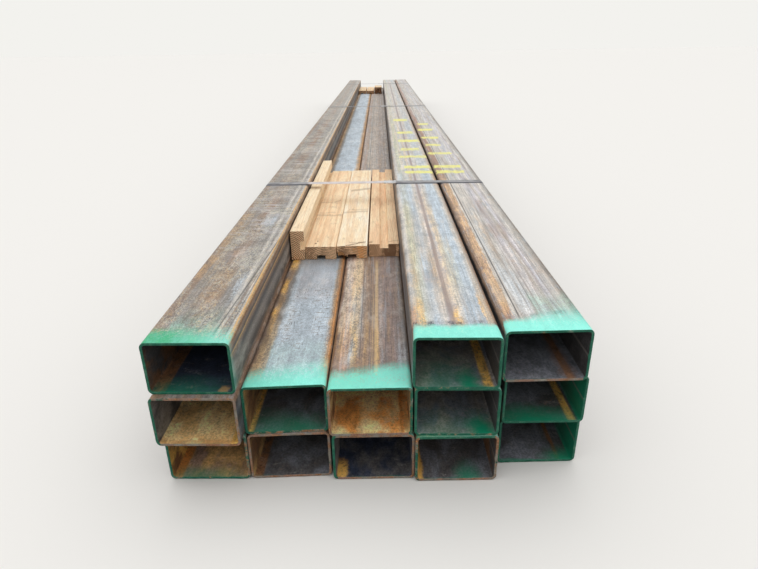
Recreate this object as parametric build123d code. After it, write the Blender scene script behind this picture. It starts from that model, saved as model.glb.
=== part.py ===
from build123d import *
import os

# A strapped bundle of rectangular steel tubes. Thirteen structural tubes lie in three rows of
# five columns, and the top row lacks its second and third tube. Grooved timbers fill that channel
# near each end, and three steel straps go round the whole bundle, each with its ends lapped and
# held by a notched seal.
# Millimetres. X runs across the bundle, Y along the tubes with the painted ends at -Y, Z is up,
# and the origin is on the floor under the middle of the bundle.

# Tubes
tube_width = 152.4
tube_height = 101.6
tube_wall = 4.76
tube_corner_radius = 10.0
tube_length = 7315.2
weld_flash_width = 3.2
weld_flash_height = 1.2

# The gap to the left of each tube, by row from the top, with None where a tube is missing
tube_gaps = {
    "top": (0.0, None, None, 1.2, 6.7),
    "middle": (1.0, 0.3, 1.3, 2.7, 12.1),
    "bottom": (1.6, 1.3, 3.8, 0.9, 9.8),
}
rows = tuple(tube_gaps)

# How far each tube's near end is set back from the foremost one, at mid-width
end_setbacks = {
    "top": (13.5, None, None, 20.5, 41.5),
    "middle": (1.5, 36.0, 25.5, 22.5, 56.5),
    "bottom": (30.5, 33.5, 26.0, 19.5, 67.5),
}

# How far out of square that end is cut: its right edge further back than its left one
end_skews = {
    "top": (-3.0, None, None, -3.0, 3.5),
    "middle": (-3.0, 8.0, 2.0, -2.5, 1.5),
    "bottom": (-2.0, 6.0, 1.0, 1.5, 3.0),
}

# Straps, which lie tight round the bundle
strap_width = 31.75
strap_thickness = 0.8
strap_stations = {"front": 1163.5, "middle": 3799.5, "rear": 6533.5}
lap_length = 92.0

# Seals, each a sheet sleeve folded round the lap, open along its underside
seal_length = 42.0
seal_thickness = 1.0
seal_clearance = 0.1
seal_side_clearance = 0.4
seal_slot_width = 6.0
seal_setback = 18.0
notch_radius = 4.0
notch_spacing = 21.0

# Grooved timbers
timber_width = 86.0
timber_thickness = 38.0
timber_edge_radius = 2.0
groove_width = 25.0
groove_depth = 12.5

# Front timbers: one on edge by the left tube, two flat beside it, and one by the right tube
front_timber_length = 1010.0
front_edge_start = 661.5
front_flat_starts = (664.5, 668.5)
front_right_start = 681.5
front_left_gap = 3.6
front_flat_gap = 0.8
front_right_gap = 0.9

# Rear timbers: two flat ones side by side, then a shorter stack of two
rear_flat_length = 650.0
rear_stack_length = 320.0
rear_flat_starts = (6313.5, 6303.5)
rear_stack_starts = (6319.5, 6305.5)
rear_left_gap = 4.0
rear_gap = 10.0

# Turns of a timber's groove about its length
GROOVE_UP = 0
GROOVE_DOWN = 180
GROOVE_RIGHT = -90

tube_lefts = {}
for row in rows:
    left = 0.0
    for column, gap in enumerate(tube_gaps[row]):
        if gap is not None:
            left += gap
            tube_lefts[row, column] = left
        left += tube_width

near_reaches = []
far_reaches = []
for row, column in tube_lefts:
    setback = end_setbacks[row][column]
    near_reaches.append(setback - abs(end_skews[row][column]) / 2)
    far_reaches.append(setback + tube_length)
bundle_near = min(near_reaches)
bundle_far = max(far_reaches)
bundle_left = min(tube_lefts.values())
bundle_right = max(tube_lefts.values()) + tube_width
row_floors = {
    row: strap_thickness + (len(rows) - 1 - level) * tube_height
    for level, row in enumerate(rows)
}
channel_floor = row_floors["top"]
top_of_tubes = channel_floor + tube_height
channel_left = tube_lefts["top", 0] + tube_width
channel_right = tube_lefts["top", 3]


def across(x):
    """X in the bundle's frame of a distance from the top left tube's outer side."""
    return x - (bundle_left + bundle_right) / 2


def along(distance):
    """Y in the bundle's frame of a distance from the foremost tube end."""
    return distance - (bundle_near + bundle_far) / 2


def run_back(section, x, z, start, length):
    """A section drawn in X and Z, set at (x, z) and run back along Y from start."""
    far_end = (across(x), along(start + length), z)
    plane = Plane(origin=far_end, x_dir=(1, 0, 0), z_dir=(0, -1, 0))
    return extrude(plane * section, amount=length)


def tube_section():
    """Rounded rectangular wall, with the weld's flash standing in from the right side wall."""
    inner_width = tube_width - 2 * tube_wall
    inner_height = tube_height - 2 * tube_wall
    outer = RectangleRounded(tube_width, tube_height, tube_corner_radius)
    inner = RectangleRounded(inner_width, inner_height, tube_corner_radius - tube_wall)
    half_width = weld_flash_width / 2
    flash_radius = (half_width**2 + weld_flash_height**2) / (2 * weld_flash_height)
    flash_centre = inner_width / 2 - weld_flash_height + flash_radius
    return outer - inner + Pos(flash_centre, 0) * Circle(flash_radius)


def tube(row, column, section):
    """A tube whose near end is sawn a little out of square."""
    x = tube_lefts[row, column] + tube_width / 2
    z = row_floors[row] + tube_height / 2
    setback = end_setbacks[row][column]
    skew = end_skews[row][column]
    spare = abs(skew)
    blank = run_back(section, x, z, setback - spare, tube_length + spare)
    middle_of_cut = (across(x), along(setback), z)
    cut = Plane(origin=middle_of_cut, x_dir=(tube_width, skew, 0), z_dir=(-skew, tube_width, 0))
    return split(blank, bisect_by=cut, keep=Keep.TOP)


def tubes():
    section = tube_section()
    return {
        f"tube_{row}_{column + 1}": tube(row, column, section) for row, column in tube_lefts
    }


def timber(left, start, length, turn, layer=0):
    """Sawn timber with eased edges and one groove, its lowest face on the channel's floor."""
    board = RectangleRounded(timber_width, timber_thickness, timber_edge_radius)
    groove_centre = (timber_thickness - groove_depth) / 2
    section = board - Pos(0, groove_centre) * Rectangle(groove_width, groove_depth)
    on_edge = turn == GROOVE_RIGHT
    width = timber_thickness if on_edge else timber_width
    height = timber_width if on_edge else timber_thickness
    z = channel_floor + (layer + 0.5) * height
    return run_back(Rot(0, 0, turn) * section, left + width / 2, z, start, length)


def front_timbers():
    left = channel_left + front_left_gap
    edge = timber(left, front_edge_start, front_timber_length, GROOVE_RIGHT)
    pieces = {"front_timber_on_edge": edge}
    left += timber_thickness
    for number, start in enumerate(front_flat_starts, 1):
        left += front_flat_gap
        flat = timber(left, start, front_timber_length, GROOVE_DOWN)
        pieces[f"front_timber_flat_{number}"] = flat
        left += timber_width
    left = channel_right - front_right_gap - timber_width
    right = timber(left, front_right_start, front_timber_length, GROOVE_UP)
    return pieces | {"front_timber_flat_3": right}


def rear_timbers():
    left = channel_left + rear_left_gap
    pieces = {}
    for number, start in enumerate(rear_flat_starts, 1):
        flat = timber(left, start, rear_flat_length, GROOVE_DOWN)
        pieces[f"rear_timber_flat_{number}"] = flat
        left += timber_width + rear_gap
    for layer, (level, start) in enumerate(zip(("lower", "upper"), rear_stack_starts)):
        stacked = timber(left, start, rear_stack_length, GROOVE_DOWN, layer)
        pieces[f"rear_timber_stack_{level}"] = stacked
    return pieces


def strap_band():
    """The tight outline round the tubes, one thickness wide."""
    flat_width = tube_width - 2 * tube_corner_radius
    flat_height = tube_height - 2 * tube_corner_radius
    edges = []
    for (row, column), left in tube_lefts.items():
        centre = Pos(across(left + tube_width / 2), row_floors[row] + tube_height / 2)
        corner_centres = centre * Rectangle(flat_width, flat_height)
        edges += corner_centres.edges()
    core = make_hull(edges)
    inside = offset(core, amount=tube_corner_radius, kind=Kind.ARC)
    outside = offset(core, amount=tube_corner_radius + strap_thickness, kind=Kind.ARC)
    return outside - inside


seal_centre = channel_right - seal_setback
seal_inner_width = strap_width + 2 * seal_side_clearance
seal_outer_width = seal_inner_width + 2 * seal_thickness
lap_top = 2 * strap_thickness


def block_at_seal(length, width, low, high, station):
    """A block centred over the seal, between two heights above the tubes' top faces."""
    middle = top_of_tubes + (low + high) / 2
    return Pos(across(seal_centre), along(station), middle) * Box(length, width, high - low)


def notch_cutters(station):
    """Upright cutters for two pairs of notches through the seal and both strap ends."""
    cutters = []
    for x_side in (-1, 1):
        for y_side in (-1, 1):
            x = across(seal_centre + x_side * notch_spacing / 2)
            y = along(station) + y_side * seal_outer_width / 2
            cutter = Cylinder(notch_radius, 10 * seal_thickness)
            cutters.append(Pos(x, y, top_of_tubes) * cutter)
    return cutters


def strap(station, band_outline):
    """The closed band, with its second layer where the ends lap and the seal's notches."""
    far_side = along(station) + strap_width / 2
    plane = Plane(origin=(0, far_side, 0), x_dir=(1, 0, 0), z_dir=(0, -1, 0))
    band = extrude(plane * band_outline, amount=strap_width)
    lap = block_at_seal(lap_length, strap_width, strap_thickness, lap_top, station)
    return (band + lap) - notch_cutters(station)


def seal(station):
    """A sleeve folded round both layers, its edges left apart beneath, notched with them."""
    low = -seal_clearance
    high = lap_top + seal_clearance
    bottom = low - seal_thickness
    top = high + seal_thickness
    outer = block_at_seal(seal_length, seal_outer_width, bottom, top, station)
    inner = block_at_seal(2 * seal_length, seal_inner_width, low, high, station)
    slot = block_at_seal(2 * seal_length, seal_slot_width, bottom - seal_thickness, low, station)
    folds = outer.edges().filter_by(Axis.X)
    return fillet(folds, seal_thickness) - inner - slot - notch_cutters(station)


pieces = tubes() | front_timbers() | rear_timbers()
band_outline = strap_band()
for place, station in strap_stations.items():
    pieces[f"strap_{place}"] = strap(station, band_outline)
    pieces[f"seal_{place}"] = seal(station)

os.makedirs("parts", exist_ok=True)
for name, piece in pieces.items():
    export_step(piece, f"parts/{name}.step")
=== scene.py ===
import math

import bmesh
import bpy
from bpy.props import FloatProperty, FloatVectorProperty, PointerProperty
from mathutils import Matrix, Vector, geometry, noise


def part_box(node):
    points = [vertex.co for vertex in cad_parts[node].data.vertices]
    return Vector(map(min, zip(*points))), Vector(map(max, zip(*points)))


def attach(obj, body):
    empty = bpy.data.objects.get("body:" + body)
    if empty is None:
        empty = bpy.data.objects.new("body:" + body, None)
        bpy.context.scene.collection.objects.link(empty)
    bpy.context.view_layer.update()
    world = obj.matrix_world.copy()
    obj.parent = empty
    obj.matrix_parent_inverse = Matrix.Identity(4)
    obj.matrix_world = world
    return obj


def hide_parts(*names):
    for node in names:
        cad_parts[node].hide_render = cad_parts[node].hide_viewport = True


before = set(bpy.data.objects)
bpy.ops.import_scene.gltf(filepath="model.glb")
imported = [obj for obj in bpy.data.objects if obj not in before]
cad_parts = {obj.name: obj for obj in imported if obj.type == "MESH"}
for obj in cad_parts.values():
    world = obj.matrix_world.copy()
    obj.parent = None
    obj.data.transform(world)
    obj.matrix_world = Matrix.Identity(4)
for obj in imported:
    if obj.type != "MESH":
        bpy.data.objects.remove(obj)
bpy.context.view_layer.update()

bl_info = {
    "name": "Strapped tube bundle",
    "version": (1, 0, 0),
    "blender": (4, 5, 0),
    "location": "View3D > Sidebar > Tube Bundle",
    "description": "Weathered rectangular steel tubes with timbers, straps and seals",
    "category": "Add Mesh",
}

MM = 0.001
BODY = "root"
BAKE_MAP = "OFBake"
MAP_SIZE = 1024
PLACES = ("front", "middle", "rear")


def shade(red, green, blue):
    """A colour as it looks on a screen, 0 to 255, in the linear values that nodes take."""
    def linear(level):
        level /= 255
        return level / 12.92 if level <= 0.04045 else ((level + 0.055) / 1.055) ** 2.4
    return tuple(linear(level) for level in (red, green, blue))


def colour_property(name, description, colour):
    return FloatVectorProperty(
        name=name, description=description, default=colour, size=3, subtype="COLOR", min=0, max=1
    )


def length_property(name, description, length):
    return FloatProperty(
        name=name, description=description, default=length, min=0, unit="LENGTH",
        subtype="DISTANCE", precision=5,
    )


class TubeSettings(bpy.types.PropertyGroup):
    wall: length_property("Wall", "Thickness of a tube's wall", 4.76 * MM)
    corner_radius: length_property("Corner radius", "Radius of a tube's outer corners", 10 * MM)
    flash_width: length_property("Flash width", "Width of the weld's flash inside", 3.2 * MM)
    flash_height: length_property("Flash height", "How far the flash stands in", 1.2 * MM)
    rim_bevel: length_property("Rim bevel", "Bevel on a sawn end's edges", 0.6 * MM)
    rim_wear: length_property("Rim wear", "How far the sawn edges wander", 0.35 * MM)
    # Pale mint: the paint with a painted sheen of the sky in it; the same paint on the rims is the
    # darker rim paint
    marking_paint_and_sheen: colour_property("Marking paint", "Sprayed on the near ends", shade(142, 246, 228))
    deep_paint: colour_property("Deep paint", "Thicker spray over rust", shade(36, 180, 126))
    rim_paint: colour_property("Rim paint", "Paint on the sawn rims", shade(16, 100, 76))
    bare_rim: colour_property("Bare rim", "Worn sawn steel", shade(138, 132, 120))
    bore_paint: colour_property("Bore paint", "Overspray inside the tubes", shade(20, 140, 104))
    grey_scale: colour_property("Grey scale", "Weathered mill scale", shade(138, 132, 126))
    # Also a painted sheen on the far part of the tops
    pale_scale_and_sheen: colour_property("Pale scale", "Dusty mill scale", shade(200, 194, 186))
    blue_scale: colour_property("Blue scale", "Fresh blue-grey scale", shade(186, 198, 208))
    green_scale: colour_property("Green scale", "Scale with a yellow-green bloom", shade(196, 194, 170))
    lilac_scale: colour_property("Lilac scale", "Scale with a lilac cast", shade(198, 194, 198))
    dark_scale: colour_property("Dark scale", "Mill scale out of the weather", shade(78, 76, 76))
    # Navy scale is also the painted shadow along the straps on the tubes' tops
    navy_scale_and_shadow: colour_property("Navy scale", "Blue-black scale in the bores", shade(48, 54, 70))
    slate_scale: colour_property("Slate scale", "Blue-grey scale on the sides", shade(104, 106, 112))
    brown_scale: colour_property("Brown scale", "Scale stained with rust", shade(144, 120, 102))
    purple_brown: colour_property("Purple brown", "Old dry rust", shade(144, 124, 116))
    rust_brown: colour_property("Rust brown", "Settled rust", shade(128, 92, 64))
    ochre_rust: colour_property("Ochre rust", "Yellow-brown rust", shade(196, 158, 104))
    orange_rust: colour_property("Orange rust", "Fresh rust", shade(204, 138, 74))
    amber_rust: colour_property("Amber rust", "Bright new rust", shade(236, 184, 98))
    tan_rust: colour_property("Tan rust", "Pale dusty rust", shade(232, 198, 142))
    teal_scale: colour_property("Teal scale", "Scale under thin overspray", shade(108, 136, 128))
    paint_haze: colour_property("Paint haze", "Thin overspray on scale", shade(146, 196, 178))
    pink_rust: colour_property("Pink rust", "Rust on bare sawn rims", shade(170, 134, 116))
    yard_yellow: colour_property("Yard yellow", "Plain painted bars", shade(240, 236, 128))


class TimberSettings(bpy.types.PropertyGroup):
    edge_radius: length_property("Edge radius", "Radius of a timber's eased edges", 2 * MM)
    groove_width: length_property("Groove width", "Width of the sawn groove", 25 * MM)
    groove_depth: length_property("Groove depth", "Depth of the sawn groove", 12.5 * MM)
    ring_spacing: length_property("Ring spacing", "Distance between growth rings", 4.8 * MM)
    early_wood: colour_property("Early wood", "Pale part of each ring", shade(255, 232, 194))
    late_wood: colour_property("Late wood", "Darker line of each ring", shade(214, 158, 100))
    heart_tint: colour_property("Heart tint", "Reddish heartwood", shade(236, 188, 146))
    # Also a painted highlight along one front board's right edge
    pale_wood_and_highlight: colour_property("Pale wood", "Fresh sawn edges", shade(255, 246, 226))
    end_grain: colour_property("End grain", "Sawn ends", shade(255, 212, 168))
    # Also painted shade over the rear timbers' ends and a painted strap shadow on one front board
    old_wood_and_shade: colour_property("Old wood", "Knots, dirt and dark rings", shade(98, 62, 38))
    orange_wood: colour_property("Orange wood", "Resin-stained ends", shade(222, 150, 74))


class StrapSettings(bpy.types.PropertyGroup):
    strap_thickness: length_property("Strap thickness", "Thickness of the strap", 0.8 * MM)
    strap_width: length_property("Strap width", "Width of the strap", 31.75 * MM)
    lap: length_property("Lap", "How far the strap's ends lie over each other", 92 * MM)
    seal_thickness: length_property("Seal thickness", "Thickness of a seal's sheet", 1 * MM)
    slot: length_property("Slot", "Gap between a seal's edges on its underside", 6 * MM)
    notch_radius: length_property("Notch radius", "Radius of a seal's notches", 4 * MM)
    notch_spacing: length_property("Notch spacing", "Distance between a seal's notches", 21 * MM)
    strap_steel: colour_property("Strap steel", "Dull zinc-grey strap", shade(152, 152, 156))
    strap_dark: colour_property("Strap stain", "Dark stains on the strap", shade(84, 80, 80))
    # Paler colour of the front strap's top run over the channel between the tubes
    paler_strap_span: colour_property("Rubbed strap", "Clean strap over the timbers",
                                  shade(232, 222, 222))
    seal_steel: colour_property("Seal steel", "Bright plated seal", shade(214, 216, 220))


class StageSettings(bpy.types.PropertyGroup):
    floor_colour: colour_property("Floor", "Plain pale floor", shade(238, 236, 232))
    backdrop_colour: colour_property("Backdrop", "Plain pale distance", shade(243, 242, 238))
    floor_bounce: FloatProperty(
        name="Floor bounce", description="How light the floor is for the light that it throws back",
        default=0.3, min=0, max=1,
    )
    horizon_light: FloatProperty(
        name="Horizon light", description="Strength of the sky's light at the horizon",
        default=0.42, min=0,
    )
    zenith_light: FloatProperty(
        name="Zenith light", description="Strength of the sky's light overhead",
        default=1.25, min=0,
    )
    lamp_strength: FloatProperty(
        name="Lamp strength", description="Strength of the broad lamp overhead", default=0.3, min=0,
    )
    lens: FloatProperty(
        name="Lens", description="Focal length on a 36 mm sensor", default=26.36, min=1,
        unit="CAMERA",
    )


class Nodes:
    """A node tree in short calls, which take sockets, numbers, colours and names of colours."""

    def __init__(self, tree, settings):
        self.tree = tree
        self.settings = settings

    def node(self, kind):
        return self.tree.nodes.new(kind)

    def colour(self, name):
        return tuple(getattr(self.settings, name))

    def join(self, value, socket):
        """Links a socket to a socket, or writes a number, a colour or a named colour on it."""
        if isinstance(value, str):
            value = self.colour(value)
        if isinstance(value, bpy.types.NodeSocket):
            self.tree.links.new(value, socket)
        elif socket.type == "RGBA":
            socket.default_value = (*value, 1)
        else:
            socket.default_value = value

    def vector(self, operation, *values):
        made = self.node("ShaderNodeVectorMath")
        made.operation = operation
        for value, socket in zip(values, made.inputs):
            self.join(value, socket)
        return made.outputs[0]

    def number(self, operation, *values, clamp=False):
        made = self.node("ShaderNodeMath")
        made.operation = operation
        made.use_clamp = clamp
        for value, socket in zip(values, made.inputs):
            self.join(value, socket)
        return made.outputs[0]

    def add(self, *values):
        total = values[0]
        for value in values[1:]:
            total = self.number("ADD", total, value)
        return total

    def times(self, *values):
        total = values[0]
        for value in values[1:]:
            total = self.number("MULTIPLY", total, value)
        return total

    def rest(self, share):
        """What a share leaves of one."""
        return self.number("SUBTRACT", 1, share)

    def away(self, value, centre):
        """How far a value is from a centre, either way."""
        return self.number("ABSOLUTE", self.number("SUBTRACT", value, centre))

    def hypot(self, first, second):
        return self.number("SQRT", self.add(self.times(first, first), self.times(second, second)))

    def share(self, value, length):
        """A distance either way from the middle of a length, as its place from 0 to 1 along it."""
        return self.number("MULTIPLY_ADD", value, 1 / length, 0.5)

    def fade(self, value, start, end, low=0.0, high=1.0):
        """Low before start and high after end, with a smooth step between them."""
        made = self.node("ShaderNodeMapRange")
        made.interpolation_type = "SMOOTHSTEP"
        for given, name in zip(
            (value, start, end, low, high), ("Value", "From Min", "From Max", "To Min", "To Max")
        ):
            self.join(given, made.inputs[name])
        return made.outputs[0]

    def band(self, value, start, end, soft):
        """One between start and end, with soft edges."""
        rise = self.fade(value, start - soft / 2, start + soft / 2)
        fall = self.fade(value, end - soft / 2, end + soft / 2, 1, 0)
        return self.times(rise, fall)

    def sway(self, noise_value, amount):
        """Noise turned into a shift either way, up to about half the amount."""
        return self.times(self.number("SUBTRACT", noise_value, 0.5), amount)

    def lines(self, noise_value, level, width):
        """Thin winding lines where the noise passes a level."""
        return self.fade(self.away(noise_value, level), 0, width, 1, 0)

    def mix(self, share, below, above, kind="MIX"):
        made = self.node("ShaderNodeMix")
        made.data_type = "RGBA"
        made.blend_type = kind
        made.clamp_result = True
        self.join(share, made.inputs["Factor"])
        colours = [socket for socket in made.inputs if socket.type == "RGBA"]
        self.join(below, colours[0])
        self.join(above, colours[1])
        return next(socket for socket in made.outputs if socket.type == "RGBA")

    def varied(self, colour, pattern, amount):
        """A colour made darker and lighter by a pattern, by up to this share."""
        scaled = self.fade(pattern, 0.28, 0.72, 1 - amount, 1 + amount)
        return self.mix(1.0, colour, scaled, "MULTIPLY")

    def ramp(self, value, stops):
        """Named colours by rising place, eased from each to the next."""
        made = self.node("ShaderNodeValToRGB")
        made.color_ramp.interpolation = "EASE"
        elements = made.color_ramp.elements
        for place, name in stops[2:]:
            elements.new(place)
        for element, (place, name) in zip(elements, stops):
            element.position = place
            element.color = (*self.colour(name), 1)
        self.join(value, made.inputs[0])
        return made.outputs[0]

    def seen(self):
        """One for rays from the camera, a reflection or glass, and nought for bounced light."""
        path = self.node("ShaderNodeLightPath")
        seen = path.outputs["Is Camera Ray"]
        for name in ("Is Glossy Ray", "Is Transmission Ray"):
            seen = self.number("MAXIMUM", seen, path.outputs[name])
        return seen


class Finish(Nodes):
    """One material's nodes. All sizes are in metres."""

    def __init__(self, name, settings, origin=(0, 0, 0), seed=0.0):
        self.material = bpy.data.materials.new(name)
        self.material.use_nodes = True
        super().__init__(self.material.node_tree, settings)
        self.tree.nodes.clear()
        self.shader = self.node("ShaderNodeBsdfPrincipled")
        output = self.node("ShaderNodeOutputMaterial")
        self.join(self.shader.outputs["BSDF"], output.inputs["Surface"])
        coordinates = self.node("ShaderNodeTexCoord")
        self.place = self.vector("SUBTRACT", coordinates.outputs["Object"], origin)
        parts = self.node("ShaderNodeSeparateXYZ")
        self.join(self.place, parts.inputs[0])
        self.across, self.along, self.up = parts.outputs
        self.seed = seed

    def grain(self, size, detail=3.0, roughness=0.55, distortion=0.0):
        """Noise from 0 to 1 whose features have this size across, along and up."""
        self.seed += 1.0
        stretch = tuple(1 / length for length in size)
        shift = (self.seed * 7.31, self.seed * 3.17, self.seed * 5.53)
        made = self.node("ShaderNodeTexNoise")
        self.join(self.vector("MULTIPLY_ADD", self.place, stretch, shift), made.inputs["Vector"])
        made.inputs["Scale"].default_value = 1.0
        made.inputs["Detail"].default_value = detail
        made.inputs["Roughness"].default_value = roughness
        made.inputs["Distortion"].default_value = distortion
        return made.outputs[0]

    def done(self, colour, roughness, bump=(), metallic=0.0, shine=0.5):
        """Sets the shader. Bump is pairs of a height from 0 to 1 and its depth in metres."""
        self.join(colour, self.shader.inputs["Base Color"])
        self.join(roughness, self.shader.inputs["Roughness"])
        self.shader.inputs["Metallic"].default_value = metallic
        self.shader.inputs["Specular IOR Level"].default_value = shine
        normal = None
        for height, depth in bump:
            made = self.node("ShaderNodeBump")
            made.inputs["Strength"].default_value = 1.0
            made.inputs["Distance"].default_value = depth
            self.join(height, made.inputs["Height"])
            if normal:
                self.join(normal, made.inputs["Normal"])
            normal = made.outputs[0]
        if normal:
            self.join(normal, self.shader.inputs["Normal"])
        return self.material


# How far out of square each tube's near end is sawn, in mm: its right edge behind its left one
END_SKEWS = {
    "tube_top_1": -3, "tube_top_4": -3, "tube_top_5": 3.5,
    "tube_middle_1": -3, "tube_middle_2": 8, "tube_middle_3": 2,
    "tube_middle_4": -2.5, "tube_middle_5": 1.5,
    "tube_bottom_1": -2, "tube_bottom_2": 6, "tube_bottom_3": 1,
    "tube_bottom_4": 1.5, "tube_bottom_5": 3,
}


class Tube:
    """Where one tube lies, read from its node, and how far its near end is out of square."""

    def __init__(self, node):
        low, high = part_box(node)
        self.node = node
        self.skew = END_SKEWS[node] * MM
        self.width = high.x - low.x
        self.height = high.z - low.z
        self.middle = (low.x + high.x) / 2
        self.level = (low.z + high.z) / 2
        self.near = low.y + abs(self.skew) / 2
        self.far = high.y

    def origin(self):
        return self.middle, self.near, self.level


# What each tube's top shows from its left edge to its right one
TOPS = {
    "tube_top_1": (
        (0.0, "rust_brown"), (0.05, "brown_scale"), (0.11, "brown_scale"), (0.2, "grey_scale"),
        (0.5, "brown_scale"), (0.66, "grey_scale"), (0.76, "grey_scale"), (0.82, "pale_scale_and_sheen"),
        (0.88, "grey_scale"), (0.95, "pale_scale_and_sheen"), (1.0, "ochre_rust"),
    ),
    "tube_middle_2": (
        (0.0, "dark_scale"), (0.03, "brown_scale"), (0.11, "brown_scale"), (0.17, "grey_scale"),
        (0.27, "blue_scale"), (0.86, "blue_scale"), (0.92, "brown_scale"), (0.97, "orange_rust"),
        (1.0, "rust_brown"),
    ),
    "tube_middle_3": (
        (0.0, "rust_brown"), (0.07, "purple_brown"), (0.13, "pink_rust"), (0.19, "pink_rust"),
        (0.24, "grey_scale"), (0.34, "brown_scale"), (0.54, "brown_scale"), (0.61, "purple_brown"),
        (0.82, "purple_brown"), (1.0, "grey_scale"),
    ),
    "tube_top_4": (
        (0.0, "grey_scale"), (0.06, "pale_scale_and_sheen"), (0.15, "green_scale"), (0.3, "blue_scale"),
        (0.4, "pale_scale_and_sheen"), (0.46, "lilac_scale"), (0.53, "lilac_scale"), (0.58, "pale_scale_and_sheen"),
        (0.7, "blue_scale"), (0.82, "blue_scale"), (0.92, "pale_scale_and_sheen"), (0.97, "brown_scale"),
        (1.0, "rust_brown"),
    ),
    "tube_top_5": (
        (0.0, "rust_brown"), (0.03, "brown_scale"), (0.08, "pink_rust"), (0.16, "pink_rust"),
        (0.19, "pale_scale_and_sheen"), (0.42, "pale_scale_and_sheen"), (0.58, "lilac_scale"), (0.68, "pale_scale_and_sheen"),
        (0.72, "lilac_scale"), (0.86, "pale_scale_and_sheen"), (0.95, "grey_scale"), (1.0, "brown_scale"),
    ),
}
PLAIN_TOP = (
    (0.0, "rust_brown"), (0.1, "brown_scale"), (0.3, "grey_scale"), (0.55, "purple_brown"),
    (0.7, "grey_scale"), (0.92, "brown_scale"), (1.0, "rust_brown"),
)
# The side walls from their lower corner to their upper one
SIDES = {
    "tube_top_1": (
        (0.0, "rust_brown"), (0.08, "brown_scale"), (0.2, "dark_scale"), (0.45, "grey_scale"),
        (0.60, "dark_scale"), (0.72, "brown_scale"), (0.755, "ochre_rust"), (0.79, "dark_scale"),
        (0.88, "brown_scale"), (0.94, "rust_brown"), (1.0, "orange_rust"),
    ),
}
PLAIN_SIDES = (
    (0.0, "rust_brown"), (0.05, "brown_scale"), (0.13, "dark_scale"), (0.35, "slate_scale"),
    (0.55, "dark_scale"), (0.75, "slate_scale"), (0.88, "dark_scale"), (0.95, "brown_scale"),
    (1.0, "rust_brown"),
)
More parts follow.
